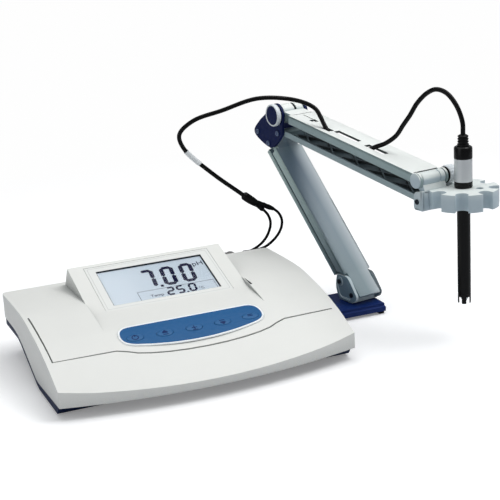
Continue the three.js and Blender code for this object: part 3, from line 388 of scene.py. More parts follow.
class Shader:
    """A short way to write a material's nodes."""

    def __init__(self, name):
        self.material = bpy.data.materials.new(name)
        self.material.use_nodes = True
        self.tree = self.material.node_tree
        self.principled = self.tree.nodes["Principled BSDF"]

    def node(self, kind, inputs=None, **settings):
        made = self.tree.nodes.new(kind)
        for key, value in settings.items():
            setattr(made, key, value)
        for key, value in (inputs or {}).items():
            self.feed(made.inputs[key], value)
        return made

    def feed(self, socket, value):
        if isinstance(value, bpy.types.NodeSocket):
            self.tree.links.new(value, socket)
        else:
            socket.default_value = value

    def set(self, **inputs):
        for key, value in inputs.items():
            self.feed(self.principled.inputs[key.replace("_", " ")], value)

    def noise(self, scale, detail=3.0, stretch=None):
        where = self.place()
        if stretch:
            where = self.node("ShaderNodeMapping", {"Vector": where, "Scale": stretch}).outputs[0]
        made = self.node("ShaderNodeTexNoise", {"Vector": where, "Scale": scale, "Detail": detail})
        return made.outputs["Fac"]

    def mapped(self, value, *ends, **settings):
        """Takes a value from the first two of four ends to the other two."""
        inputs = {"Value": value, **dict(zip(("From Min", "From Max", "To Min", "To Max"), ends))}
        return self.node("ShaderNodeMapRange", inputs, **settings).outputs["Result"]

    def ranged(self, value, low, high):
        return self.mapped(value, 0.3, 0.7, low, high)

    def mixed(self, factor, a, b):
        made = self.node("ShaderNodeMix", data_type="RGBA")
        self.feed(made.inputs["Factor"], factor)
        self.feed(made.inputs["A"], a)
        self.feed(made.inputs["B"], b)
        return made.outputs["Result"]

    def step(self, value, low, high):
        """0 below low, 1 above high; the other way round when low is the greater."""
        return self.mapped(value, low, high)

    def place(self):
        return self.node("ShaderNodeTexCoord").outputs["Object"]

    def maths(self, operation, a, b, **settings):
        return self.node("ShaderNodeMath", {0: a, 1: b}, operation=operation, **settings).outputs[0]

    def times(self, a, b):
        return self.maths("MULTIPLY", a, b)

    def dot(self, a, b):
        return self.node("ShaderNodeVectorMath", {0: a, 1: b}, operation="DOT_PRODUCT").outputs["Value"]

    def facing(self, direction):
        """How much a face looks in a direction, from -1 to 1."""
        return self.dot(self.node("ShaderNodeNewGeometry").outputs["Normal"], direction)

    def along(self, direction, origin):
        """How far a point is from the origin in a direction, in metres."""
        return self.maths("SUBTRACT", self.dot(self.place(), direction), origin.dot(direction))

    def grain(self, scale, strength, depth=0.05, detail=2.0):
        """Fine relief, depth in millimetres."""
        bump = self.node(
            "ShaderNodeBump",
            {"Height": self.noise(scale, detail), "Strength": strength, "Distance": depth * MM},
        )
        self.set(Normal=bump.outputs["Normal"])


def varied(color, share):
    return tuple(min(1, c * share) for c in color[:3]) + (1,)


def finish(name, rgb, roughness, metallic=0.0, spread=0.05, grain=(1500, 0.25), coat=0.0, shine=0.5):
    """A surface whose colour and roughness drift a little over it, with fine relief."""
    shader = Shader(name)
    color = srgb(*rgb)
    broad = shader.noise(28, 3)
    shader.set(Base_Color=shader.mixed(broad, varied(color, 1 - spread), varied(color, 1 + spread)))
    fine = shader.noise(260, 4)
    shader.set(Roughness=shader.ranged(fine, roughness * 0.85, roughness * 1.15))
    shader.set(Metallic=metallic, Coat_Weight=coat, Coat_Roughness=0.12, Specular_IOR_Level=shine)
    shader.grain(*grain)
    return shader.material


def paint_with_painted_shade(name, top, sides, roughness, inside=None, steep=(0.25, 0.75)):
    """Satin paint with painted light: lighter where it faces up, darker sides as painted shade, and painted shade
    dark between two given places across the arm.
    """
    shader = Shader(name)
    up = shader.facing(UP)
    broad = shader.noise(40, 3)
    light = shader.mixed(broad, varied(top, 0.97), varied(top, 1.03))
    dark = shader.mixed(broad, varied(sides, 0.94), varied(sides, 1.06))
    # Painted shade: the inside of the arm between the two given places is made nearly black.
    if inside:
        across = shader.along(ACROSS, ARM)
        near = shader.step(across, (inside[0] - 0.4) * MM, inside[0] * MM)
        far = shader.step(across, (inside[1] + 0.4) * MM, inside[1] * MM)
        within = shader.times(near, far)
        beyond = shader.step(shader.along(FORWARD, ARM), -104 * MM, -102 * MM)
        dark = shader.mixed(shader.times(within, beyond), dark, varied(sides, 0.14))
    shader.set(Base_Color=shader.mixed(shader.step(up, *steep), dark, light))
    shader.set(Roughness=shader.ranged(shader.noise(300, 4), roughness * 0.85, roughness * 1.2))
    shader.grain(1800, 0.2)
    return shader.material


def arm_paint_with_painted_light():
    """Cool grey paint with painted light: a painted reflection makes the wide front dark to pale across it and
    darker higher up; painted shade darkens the narrow sides towards the base.
    """
    shader = Shader("arm_grey")
    front = shader.step(shader.facing(FORWARD), 0.4, 0.6)
    high = shader.step(shader.along(UP, Vector((0, 0, 0))), 30 * MM, 150 * MM)
    across = shader.step(shader.along(ACROSS, ARM), 17 * MM, 35 * MM)
    # Painted reflection on the wide front: darker higher up, paler across towards the far side.
    front_painted_reflection = shader.mixed(high, srgb(134, 152, 158), srgb(92, 112, 130))
    wide = shader.mixed(across, front_painted_reflection, srgb(204, 212, 216))
    # Painted shade on the narrow sides, darker towards the base.
    narrow = shader.mixed(high, srgb(96, 120, 130), srgb(172, 194, 190))
    both = shader.mixed(front, narrow, wide)
    drift = shader.times(shader.noise(40, 3), 0.16)
    shader.set(Base_Color=shader.mixed(drift, both, srgb(150, 160, 168)))
    shader.set(Roughness=shader.ranged(shader.noise(300, 4), 0.36, 0.5))
    shader.grain(1500, 0.15)
    return shader.material


def bracket_paint_with_painted_light():
    """Painted shade on the broad faces of the near cheek, a painted highlight on its rim, and painted shade all
    over the far cheek.
    """
    shader = Shader("bracket_grey")
    flat = shader.step(shader.facing(-ACROSS), 0.93, 0.985)
    far = shader.step(shader.along(ACROSS, ARM), 29 * MM, 31.5 * MM)
    # Painted highlight on the near cheek's rim; painted shade on the far cheek and on the near cheek's broad
    # faces.
    rim = shader.mixed(shader.noise(40, 3), srgb(182, 198, 204), srgb(192, 206, 212))
    rim = shader.mixed(far, rim, srgb(64, 76, 84))
    shader.set(Base_Color=shader.mixed(flat, rim, srgb(114, 138, 152)), Roughness=0.42)
    shader.grain(1500, 0.15)
    return shader.material


def shell_plastic():
    """Warm white plastic with painted shade that darkens it a little in the creases."""
    shader = Shader("white_shell")
    plain = shader.mixed(shader.noise(28, 3), srgb(228, 229, 225), srgb(233, 234, 230))
    # Painted shade: darker where the ambient occlusion finds little open space round a point.
    open_sky = shader.node("ShaderNodeAmbientOcclusion", {"Distance": 30 * MM}, samples=6).outputs["AO"]
    creased = shader.mixed(shader.step(open_sky, 0.35, 0.9), srgb(140, 144, 143), plain)
    shader.set(Base_Color=creased, Roughness=shader.ranged(shader.noise(260, 4), 0.4, 0.52))
    shader.grain(2600, 0.22)
    return shader.material


def lcd_surface():
    """A grey-blue display with a faint painted glow and a painted reflection that fades it to white at its left
    end, with a faint pixel-fine texture.
    """
    shader = Shader("lcd_surface")
    across = shader.node("ShaderNodeSeparateXYZ", {"Vector": shader.place()}).outputs["X"]
    left = METER.x - 56 * MM
    # Painted reflection: the display grows lighter towards its left end.
    fade = shader.mapped(across, left, left + 62 * MM, interpolation_type="SMOOTHSTEP")
    tone = shader.mixed(fade, srgb(206, 216, 226), srgb(190, 201, 212))
    cells = shader.mixed(shader.noise(900, 1), srgb(182, 193, 206), srgb(190, 201, 213))
    shader.set(Base_Color=shader.mixed(0.08, tone, cells), Roughness=0.35)
    # Painted glow: a faint emission in the display's own tone.
    shader.set(Emission_Color=tone, Emission_Strength=0.05)
    shader.grain(2500, 0.05)
    return shader.material


def clear_pane():
    """Thin clear plastic: it shows what is behind it and mirrors a little at a glancing angle."""
    shader = Shader("clear_pane")
    fresnel = shader.node("ShaderNodeFresnel", {"IOR": 1.42}).outputs[0]
    behind = shader.node("ShaderNodeNewGeometry").outputs["Backfacing"]
    fresnel = shader.times(fresnel, shader.maths("SUBTRACT", 0.6, behind, use_clamp=True))
    tint = shader.mixed(shader.noise(60, 2), (0.97, 0.985, 0.99, 1), (1, 1, 1, 1))
    clear = shader.node("ShaderNodeBsdfTransparent", {"Color": tint}).outputs[0]
    rough = shader.ranged(shader.noise(400, 2), 0.06, 0.1)
    mirror = shader.node("ShaderNodeBsdfGlossy", {"Roughness": rough}).outputs[0]
    both = shader.node("ShaderNodeMixShader", {0: fresnel, 1: clear, 2: mirror}).outputs[0]
    output = shader.tree.nodes["Material Output"]
    shader.feed(output.inputs["Surface"], both)
    shader.tree.nodes.remove(shader.principled)
    return shader.material


def circuit_board():
    shader = Shader("circuit_board")
    traces = shader.noise(500, 1, (1, 0.1, 1))
    on_trace = shader.maths("GREATER_THAN", traces, 0.55)
    shader.set(Base_Color=shader.mixed(on_trace, srgb(20, 84, 48), srgb(34, 108, 62)), Roughness=0.4)
    shader.grain(800, 0.2)
    return shader.material


WHITE_SHELL = shell_plastic()
NAVY_SHELL = finish("navy_shell", (8, 30, 66), 0.5, spread=0.08, grain=(2000, 0.3), shine=0.25)
BLUE_PLATE = finish("blue_plate", (4, 40, 98), 0.45, spread=0.06, grain=(900, 0.12), shine=0.25)
WINDOW_FRAME = finish("window_frame", (229, 231, 228), 0.36, spread=0.01, grain=(1200, 0.06))
KEYPAD_BLUE = finish("keypad_blue", (30, 90, 142), 0.5, spread=0.05, grain=(1800, 0.25), shine=0.25)
KEY_BLUE = finish("key_blue", (32, 93, 145), 0.42, spread=0.05, grain=(1800, 0.2), shine=0.3)
KEY_MARK = finish("key_mark", (8, 40, 92), 0.5, spread=0.05, shine=0.2)
# The keypad's white rim is real; its brighter white than the shell is painted highlight.
PAD_RIM = finish("pad_rim", (246, 250, 252), 0.3, spread=0.01, grain=(1200, 0.1))
ARM_GREY = arm_paint_with_painted_light()
# The upper arm's grey sides are partly a darker paint and partly painted shade; the inside of its channel is
# painted shade.
ARM_WHITE = paint_with_painted_shade("arm_white", srgb(236, 240, 237), srgb(146, 166, 167), 0.4, inside=(2.8, 31.2))
# Painted shade darkens the sides of the head and its star.
HEAD_PAINT = paint_with_painted_shade("head_paint", srgb(228, 235, 233), srgb(176, 192, 200), 0.4, steep=(0.04, 0.4))
BRACKET_GREY = bracket_paint_with_painted_light()
# Painted shade: the link under the upper arm is darker on its upward faces and nearly black inside.
RIBBED_LINK = paint_with_painted_shade("ribbed_link", srgb(112, 128, 136), srgb(146, 164, 168), 0.45, inside=(6, 28))
NAVY_PLATE = finish("navy_plate", (0, 27, 72), 0.55, spread=0.08, grain=(1200, 0.15), shine=0.2)
KNOB_WHITE = finish("knob_white", (222, 229, 233), 0.38, spread=0.02, grain=(1600, 0.15))
DARK_STEEL = finish("dark_steel", (34, 42, 52), 0.4, metallic=0.6, spread=0.1, grain=(900, 0.15))
NAVY_PIN = finish("navy_pin", (96, 110, 140), 0.34, metallic=0.5, spread=0.1, grain=(900, 0.15))
ZINC = finish("zinc", (186, 188, 192), 0.3, metallic=1.0, spread=0.08, grain=(700, 0.2))
NICKEL = finish("nickel", (206, 202, 194), 0.2, metallic=1.0, spread=0.05, grain=(400, 0.1))
LEG_GREY = finish("leg_grey", (84, 96, 108), 0.5, spread=0.05, grain=(1800, 0.3))
RUBBER = finish("rubber", (16, 17, 19), 0.8, spread=0.15, grain=(1200, 0.5), shine=0.2)
BLACK_PLASTIC = finish("black_plastic", (5, 5, 7), 0.4, spread=0.12, grain=(1600, 0.3), shine=0.2)
GLOSS_BLACK = finish("gloss_black", (2, 2, 3), 0.24, spread=0.1, grain=(500, 0.08), shine=0.2)
CABLE_BLACK = finish("cable_black", (3, 3, 4), 0.3, spread=0.12, grain=(900, 0.1), shine=0.15)
SLEEVE = finish("sleeve", (226, 230, 232), 0.3, spread=0.04, grain=(900, 0.1))
LABEL_SILVER = finish("label_silver", (198, 202, 204), 0.35, 0.5, spread=0.02, grain=(600, 0.05))
BULB = finish("bulb", (196, 208, 212), 0.1, spread=0.04, grain=(300, 0.05), coat=0.5)
INK = finish("ink", (6, 10, 54), 0.6, spread=0.1, shine=0.1)
THIN_INK = finish("thin_ink", (40, 50, 82), 0.6, spread=0.1, shine=0.1)
# Painted shadow: the dark of the window's recess walls and of the gap beside the display.
DARK_SHADOW_PAINT = finish("painted_shadow", (30, 36, 42), 0.5, spread=0.1, shine=0.2)
FOLD_LINE = finish("fold_line", (196, 198, 196), 0.5, spread=0.02)
# Painted shade: the dark of the groove in the top face.
GROOVE = finish("groove", (104, 106, 104), 0.7, spread=0.04, shine=0.1)

# ---- carried-over nodes ----

# Each material, the rounding of its edges in millimetres, and its nodes.
CARRIED_OVER = [
    (WHITE_SHELL, 0.5, "upper_housing"),
    (NAVY_SHELL, 0.5, "lower_housing"),
    (WINDOW_FRAME, 0.2, "display_window"),
    (clear_pane(), 0, "display_lens"),
    (lcd_surface(), 0, "lcd_panel"),
    (circuit_board(), 0, "main_board keypad_board"),
    (BLACK_PLASTIC, 0.3, "lcd_carrier probe_socket power_jack"),
    (LEG_GREY, 1.2, "rear_leg_left rear_leg_right"),
    (RUBBER, 0.5, "front_foot_left front_foot_right plate_foot"),
    (ZINC, 0, "housing_screw_1 housing_screw_2 housing_screw_3 housing_screw_4"),
    (ZINC, 0.3, "plate_screw_1 plate_screw_2 swivel_post"),
    (BLUE_PLATE, 0.8, "arm_base_plate"),
    (RIBBED_LINK, 0, "upper_arm_link"),
    (NICKEL, 0.3, "bnc_socket"),
]
for surface, rounding, nodes in CARRIED_OVER:
    for node in nodes.split():
        refine(node, surface, rounding)

# ---- display ----

LCD_TOP = -1.9  # the display's surface, below the window's face
INK_DEPTH = 0.12


def ink(outline):
    return slab(outline, on_display, LCD_TOP, LCD_TOP + INK_DEPTH)


# The segments of a digit: the two ends of each, as shares of its width and height.
SEGMENTS = {
    "a": ((0, 1), (1, 1)),
    "b": ((1, 1), (1, 0.5)),
    "c": ((1, 0.5), (1, 0)),
    "d": ((0, 0), (1, 0)),
    "e": ((0, 0.5), (0, 0)),
    "f": ((0, 1), (0, 0.5)),
    "g": ((0, 0.5), (1, 0.5)),
}
DIGITS = {"7": "abc", "0": "abcdef", "2": "abged", "5": "afgcd"}


def digit(shown, x, up, width, height, stroke):
    """A seven-segment digit, leaning a little to the right; (x, up) is its lower left corner."""
    lean = 0.09
    parts = []
    for letter in DIGITS[shown]:
        start, end = (
            Vector((x + a * width + lean * b * height, up + b * height)) for a, b in SEGMENTS[letter]
        )
        along = (end - start).normalized()
        square = Vector((-along.y, along.x)) * (stroke / 2)
        start, end = start + along * stroke * 0.02, end - along * stroke * 0.02
        tip = along * (stroke * 0.34)
        parts.append(ink([start, start + tip + square, end - tip + square, end, end - tip - square,
                          start + tip - square]))
    return parts


def lettering(text, x, up, size):
    """Plain letters on the display as a thin solid; (x, up) is their lower left corner."""
    curve = bpy.data.curves.new("lettering", "FONT")
    curve.body = text
    curve.size = size
    holder = linked("lettering", curve)
    bpy.context.view_layer.update()
    mesh = bpy.data.meshes.new_from_object(holder.evaluated_get(bpy.context.evaluated_depsgraph_get()))
    bpy.data.objects.remove(holder)
    work = bmesh.new()
    work.from_mesh(mesh)
    bmesh.ops.remove_doubles(work, verts=work.verts, dist=1e-4)
    added = bmesh.ops.extrude_face_region(work, geom=work.faces[:])
    for vertex in added["geom"]:
        if isinstance(vertex, bmesh.types.BMVert):
            vertex.co.z += INK_DEPTH
    for vertex in work.verts:
        vertex.co = on_display(x + vertex.co.x, up + vertex.co.y, LCD_TOP + vertex.co.z)
    bmesh.ops.recalc_face_normals(work, faces=work.faces)
    work.to_mesh(mesh)
    work.free()
    return linked("lettering", mesh)


def display_ink():
    big = []
    for shown, x in (("7", -15), ("0", 6.4), ("0", 26.8)):
        big += digit(shown, x, -51.6, 10.2, 27.4, 4.3)
    big.append(ink(oblong(-0.6, 2.4, -54.4, -51)))
    for shown, x in (("2", 2.4), ("5", 12.6), ("0", 25.4)):
        big += digit(shown, x, -69.1, 6.1, 11, 2.3)
    big.append(ink(oblong(21.2, 23.2, -70.2, -68.4)))
    big.append(lettering("pH", 42, -29, 10))
    place_piece(merge(*big), "display_digits", "meter", "carrier_plastic", INK)
    line = 0.35
    left, right, low, high = -27, 53.4, -72.8, -57
    strips = [
        (left, right, high, high + line),
        (left, right, low, low + line),
        (left, left + line, low, high),
        (right - line, right, low, high),
        (-55.9, 55.9, -14.1, -13.5),
        (55.2, 55.9, -73, -13.5),
        (-20, 55.9, -73.1, -72.8),
    ]
    thin = [ink(oblong(*strip)) for strip in strips]
    thin += [lettering("Temp", -16, -68.4, 5.8), lettering("°C", 34.6, -68.6, 5.2)]
    place_piece(merge(*thin), "display_lines", "meter", "carrier_plastic", THIN_INK)


def display_shadow_ring():
    """A dark ring round the display, a painted shadow seen at the far walls of the window's opening."""
    seal = slab(oblong(-56.2, 56.2, -73.4, -13.2), on_display, -1.88, -0.35)
    hole = slab(oblong(-55.6, 55.6, -72.8, -13.8), on_display, -3, 1)
    place_piece(cut(seal, hole), "display_shadow_ring", "meter", "carrier_plastic", DARK_SHADOW_PAINT)


def window_line():
    """The faint line just inside the window's edge."""
    outer = rounded(oblong(-63.5, 63.5, -78.2, -7.4), 1.5)
    inner = rounded(oblong(-63.1, 63.1, -77.8, -7.8), 1.3)
    part = cut(slab(outer, on_display, -0.05, 0.04), slab(inner, on_display, -1, 1))
    place_piece(part, "window_line", "meter", "window_frame", FOLD_LINE)


# ---- keypad ----

PAD_HALF = 71
KEY_PITCH = 28.8


def pad_outline(inset, steps=16):
    """The pad's outline: straight at the back, bowed at the front, round at the ends."""
    half, flat = PAD_HALF - inset, PAD_HALF - 13
    back, corner, pull, side = 18.6 - inset, -10.2 + inset, -27 + inset, 4
    return [
        *quadratic((-flat, back), (-half, back), (-half, side), steps),
        *quadratic((-half, side), (-half, corner + 3.5), (-flat, corner), steps),
        *quadratic((-flat, corner), (0, pull), (flat, corner), steps * 2),
        *quadratic((flat, corner), (half, corner + 3.5), (half, side), steps),
        *quadratic((half, side), (half, back), (flat, back), steps),
        Vector((flat, back)),
    ]


def key_centre(index):
    return index * KEY_PITCH, (index * index - 4) * 0.35


def keypad():
    levels = [(0, -0.9), (0, 0.35), (0.15, 0.58), (0.45, 0.7)]
    pad = layered([(pad_outline(inset), height) for inset, height in levels], on_keypad)
    openings = [slab(ellipse(*key_centre(i), 8.5, 4.9, 64), on_keypad, -5, 5) for i in range(-2, 3)]
    pad = shade(cut(pad, *openings))
    place_piece(pad, "keypad", "meter", "keypad_blue", KEYPAD_BLUE, "keypad_panel")
    rings = [(-1.2, -0.3), (-1.15, 0.35), (-0.8, 0.85), (0.2, 0.95), (0.7, 0.72), (0.72, 0.3)]
    rim = layered([(pad_outline(inset, 20), height) for inset, height in rings], on_keypad, wrapped=True)
    place_piece(shade(rim, 50), "keypad_rim", "meter", "white_shell", PAD_RIM)


def groove_line():
    """Painted shade: a dark tube laid in the groove of the top face, and a short dark sliver for the shadow in
    the gap beside the display.
    """
    shell = BVHTree.FromObject(frame["nodes"]["upper_housing"], bpy.context.evaluated_depsgraph_get())

    def on_shell(x, y):
        return shell.ray_cast(on_meter(x, y, 200), -UP)[0]

    line = [(-140, 12), (-139, -67.5), (-80, -68.5)]
    for i in range(1, 12):
        angle = math.pi * i / 12
        line.append((4 - 76 * math.cos(angle), -68.5 - 15 * math.sin(angle)))
    line += [(88, -68.5), (139, -67.5)]
    samples = []
    for (x0, y0), (x1, y1) in zip(line, line[1:]):
        steps = max(1, round(math.hypot(x1 - x0, y1 - y0) / 2.5))
        for k in range(steps):
            samples.append(on_shell(x0 + (x1 - x0) * k / steps, y0 + (y1 - y0) * k / steps))
    place_piece(shade(tube(samples, 0.62 * MM, 8), 60), "groove_shadow", "meter", "white_shell", GROOVE)
    # Painted shadow: a dark sliver in the gap beside the display.
    gap = [on_shell(82.4 + 0.1 * k, 15 - 2 * k) for k in range(9)]
    widths = [(0.12 + 0.11 * k) * MM for k in range(9)]
    place_piece(shade(tube(gap, widths, 8), 60), "display_gap_shadow", "meter", "white_shell", DARK_SHADOW_PAINT)


BAR = oblong(-2.6, 2.6, -0.45, 0.45)
# The plain raised marks of the keys, as outlines round each key's centre.
MARKS = {
    -2: [oblong(-0.45, 0.45, 0.9, 4.1)],
    -1: [BAR, [(-3, 0.9), (3, 0.9), (0, 4)], oblong(-2.6, 2.6, -2.9, -2)],
    0: [
        BAR,
        oblong(-0.45, 0.45, 0.4, 2.8),
        oblong(-0.45, 0.45, -2.8, -0.4),
        oblong(-2.6, 2.6, -4, -3.2),
    ],
    1: [BAR, [(-3, -0.9), (3, -0.9), (0, -4)], oblong(-2.6, 2.6, 2, 2.9)],
    2: [BAR, oblong(-2.6, 2.6, 1.5, 2.4)],
}


def key_marks(index):
    x, y = key_centre(index)

    def mark(outline, low=1.1, high=1.34):
        return slab([(x + a, y + b) for a, b in outline], on_keypad, low, high)

    marks = [mark(outline) for outline in MARKS[index]]
    if index == -2:
        marks.append(cut(mark(ellipse(0, 0.2, 3.4, 3.4)), mark(ellipse(0, 0.2, 2.5, 2.5), 0, 3)))
    return marks


def keys():
    for index in range(-2, 3):
        x, y = key_centre(index)
        rings = [(8.2, 4.6, -1.4), (8.2, 4.6, 0.75), (8.0, 4.4, 1.02), (7.5, 3.9, 1.16), (5.5, 2.8, 1.2)]
        cap = layered([(ellipse(x, y, rx, ry, 64), height) for rx, ry, height in rings], on_keypad)
        number = index + 3
        body = f"button_{number}"
        place_piece(shade(cap, 60), f"key_cap_{number}", body, "key_blue", KEY_BLUE, f"key_{number}")
        place_piece(merge(*key_marks(index)), f"key_marks_{number}", body, "key_blue", KEY_MARK)


# ---- arm ----


class Bar:
    """A straight member between two pivots: s runs along it, h square to it."""

    def __init__(self, start, end):
        self.start = start
        self.length = (end - start).length
        self.along = (end - start).normalized()
        self.square = Vector((-self.along.y, self.along.x))

    def at(self, s, h):
        return self.start + self.along * s + self.square * h

    def block(self, s0, s1, h0, h1, x0, x1):
        corners = [self.at(s0, h0), self.at(s1, h0), self.at(s1, h1), self.at(s0, h1)]
        return slab(corners, side_view, x0, x1)


def about(pivot):
    """A placer for a lathe whose axis runs across the arm through a pivot."""
    return lambda a, b, t: on_arm(t, pivot.x + a, pivot.y + b)


def edge(radius, x, size):
    """Three points of a disc's rounded edge, from its face at x to its rim; a negative size faces back."""
    small = abs(size)
    return [(radius - small, x), (radius - small * 0.3, x + size * 0.3), (radius, x + size)]


def disc(pivot, radius, x0, x1, chamfer=0.5, segments=64):
    c = min(chamfer, (x1 - x0) / 3)
    profile = [(0, x0), *edge(radius, x0, c), *reversed(edge(radius, x1, -c)), (0, x1)]
    return lathe(profile, about(pivot), segments)


def screw_head(pivot, outer, inner, radius, socket):
    """A pin's head with a socket in it: outer is its free face, inner the one on the plate."""
    way = 1 if inner > outer else -1
    rim = min(0.5, abs(inner - outer) / 2)
    depth = outer + way * 0.7
    profile = [
        (0, depth), (socket, depth), (socket + 0.1, outer), *edge(radius, outer, way * rim),
        (radius, inner), (0, inner),
    ]
    return lathe(profile, about(pivot), 40)


def pin(name, body, pivot, node, material, radius):
    parts = [
        disc(pivot, 2.3, -1, ARM_WIDTH + 1, segments=24),
        screw_head(pivot, -1.5, -0.3, radius, 1.2),
        screw_head(pivot, ARM_WIDTH + 1.5, ARM_WIDTH + 0.3, radius, 1.2),
    ]
    place_piece(shade(merge(*parts)), name, body, "pin_steel", material, node)


def lower_arm():
    bar = Bar(BASE_FRONT, ELBOW_FRONT)
    front, web, back = -7, 2.6, 3.1  # the wide web is on the arm's front
    low, low_back, high = 23, 32, bar.length - 12.5
    wide = 2.4
    side_plate = [bar.at(low, front), bar.at(high, front), bar.at(high, back), bar.at(low_back, back)]
    inner = (3.6, ARM_WIDTH - 3.6)
    parts = [
        bar.block(low, high, front, front + web, 0, ARM_WIDTH),
        slab(side_plate, side_view, 0, wide),
        slab(side_plate, side_view, ARM_WIDTH - wide, ARM_WIDTH),
        bar.block(-7, bar.length + 6, front + 0.02, front + web, *inner),
        bar.block(high - wide, high - 0.02, front + 0.02, back - 0.02, 0.02, ARM_WIDTH - 0.02),
        disc(BASE_FRONT, 4.2, *inner),
        disc(ELBOW_FRONT, 4.2, *inner),
    ]
    for x in (3.6, ARM_WIDTH - 6):
        parts.append(bar.block(-2, low_back + 3, front + 0.04, back - 0.04, x, x + 2.4))
        parts.append(bar.block(high - 3, bar.length + 2, front + 0.04, back - 0.04, x, x + 2.4))
    for share in (0.25, 0.5, 0.75):
        s = low_back + (high - low_back) * share
        parts.append(bar.block(s - 1, s + 1, front + 1, 1.5, 1, ARM_WIDTH - 1))
    assemble(parts, 0.45, "lower_beam", "lower_arm", "arm_grey", ARM_GREY, "lower_arm_channel")


def lower_link():
    bar = Bar(BASE_REAR, ELBOW_REAR)
    low, high = 9.5, bar.length - 27
    parts = [
        bar.block(0, bar.length, -2.38, -0.2, 3.6, ARM_WIDTH - 3.6),
        bar.block(low, high, -2.4, -0.2, 0, ARM_WIDTH),
        bar.block(low, high, -2.4, 3, 0, 2.4),
        bar.block(low, high, -2.4, 3, ARM_WIDTH - 2.4, ARM_WIDTH),
        bar.block(low, low + 2, -2.38, 2.98, 0.02, ARM_WIDTH - 0.02),
        bar.block(high - 2, high, -2.38, 2.98, 0.02, ARM_WIDTH - 0.02),
        disc(BASE_REAR, 3.6, 3.6, ARM_WIDTH - 3.6),
        disc(ELBOW_REAR, 3.6, 3.6, ARM_WIDTH - 3.6),
    ]
    assemble(parts, 0.4, "lower_beam_link", "lower_link", "arm_grey", ARM_GREY, "lower_arm_link")


def pins():
    pin("pin_base_front", "swivel", BASE_FRONT, "base_pin_front", DARK_STEEL, 2.6)
    pin("pin_base_rear", "swivel", BASE_REAR, "base_pin_rear", DARK_STEEL, 2.6)
    pin("pin_elbow_front", "elbow", ELBOW_FRONT, "elbow_pin_front", NAVY_PIN, 3)
    pin("pin_elbow_rear", "elbow", ELBOW_REAR, "elbow_pin_rear", NAVY_PIN, 3)
    pin("pin_elbow_low", "elbow", ELBOW_LOW, "elbow_pin_low", NAVY_PIN, 3)
    pin("pin_head", "head", HEAD_LOW, "head_pin", DARK_STEEL, 2.6)


def base_bracket():
    outline = [
        (-26.5, 38.2), (-28.5, 30), (-28.5, 21.5), (-24.4, 14.2), (-21, 12.3), (-0.9, 12.3), (5, 15.5),
        (7.2, 20.5), (-6.2, 37.5), (-10, 39.5), (-22.9, 39.5),
    ]
    panel = [
        (-24.5, 35), (-26, 27), (-23, 17.5), (-19, 14.6), (-3.5, 14.6), (-8.5, 33), (-11.5, 36.8),
        (-22, 36.8),
    ]
    parts = []
    for x0, x1, panel_from, panel_to in ((0, 3.2, -1, 0.9), (ARM_WIDTH - 3.2, ARM_WIDTH, 33.1, 35)):
        cheek = slab(rounded(outline, 3), side_view, x0, x1)
        parts.append(cut(cheek, slab(rounded(panel, 3), side_view, panel_from, panel_to)))
        for pivot in (BASE_FRONT, BASE_REAR):
            parts.append(disc(pivot, 5, x0 + 0.1, x1 - 0.1, 0.4))
    floor = slab(oblong(-24, -1.5, 0.5, ARM_WIDTH - 0.5), lambda f, x, z: on_arm(x, f, z), 11.6, 15.6)
    part = soften(merge(*parts, floor), 0.5)
    place_piece(shade(part), "bracket", "swivel", "arm_grey", BRACKET_GREY, "base_bracket")


ELBOW_OUTLINE = [
    (-127, 209.4), (-131.7, 208.5), (-136.5, 205.2), (-148.5, 195.5), (-159.8, 188), (-170.3, 179), (-173, 175.5),
    (-173, 171.5), (-168.8, 167.6), (-159.8, 163.2), (-149.6, 159.4), (-141, 157.9), (-135.4, 159.6),
    (-125.1, 167.6), (-118.4, 174.4), (-116.6, 178.6), (-117, 184), (-114.8, 194), (-115.2, 200.5),
    (-118.2, 205.8), (-122.3, 208.5),
]


def elbow_plates():
    for name, node, x0, x1 in (
        ("elbow_side_near", "elbow_plate_near", 0, 3.2),
        ("elbow_side_far", "elbow_plate_far", ARM_WIDTH - 3.2, ARM_WIDTH),
    ):
        plate = soften(slab(rounded(ELBOW_OUTLINE, 3, 4), side_view, x0, x1), 0.6, segments=3)
        place_piece(shade(plate), name, "elbow", "navy_plate", NAVY_PLATE, node)


def elbow_knob():
    ring = lathe(
        [(0, -5.2), (10.4, -5.2), (10.5, -6), (10.9, -6.4), (11.5, -6.3), (12, -5.8), (12.2, -5),
         (12.2, -2.4), (11.9, -1.6), (11.4, -1.2), (7, -1.2), (7, -0.3), (0, -0.3)],
        about(ELBOW_TOP), 96,
    )
    place_piece(shade(ring), "clamp_knob", "elbow_clamp", "arm_white", KNOB_WHITE, "elbow_knob")
    inset = lathe([(0, -5.25), (10.3, -5.25), (10.3, -5.5), (10, -5.8), (0, -6)], about(ELBOW_TOP), 64)
    inset = shade(inset)
    place_piece(inset, "clamp_knob_inset", "elbow_clamp", "navy_plate", NAVY_PLATE, "elbow_knob_cap")
    nut = slab(ellipse(*ELBOW_TOP, 6, 6, 6), side_view, ARM_WIDTH + 0.3, ARM_WIDTH + 4)
    bolt = merge(disc(ELBOW_TOP, 3, -3.9, ARM_WIDTH + 5.2, segments=32), soften(nut, 0.4))
    place_piece(shade(bolt), "clamp_bolt", "elbow", "pin_steel", DARK_STEEL, "elbow_bolt")


SLOT_X = 13.5
CABLE_SLOTS = [(47, 55, SLOT_X), (75, 88.5, 8.9), (91, 129, SLOT_X), (142, 173, SLOT_X)]


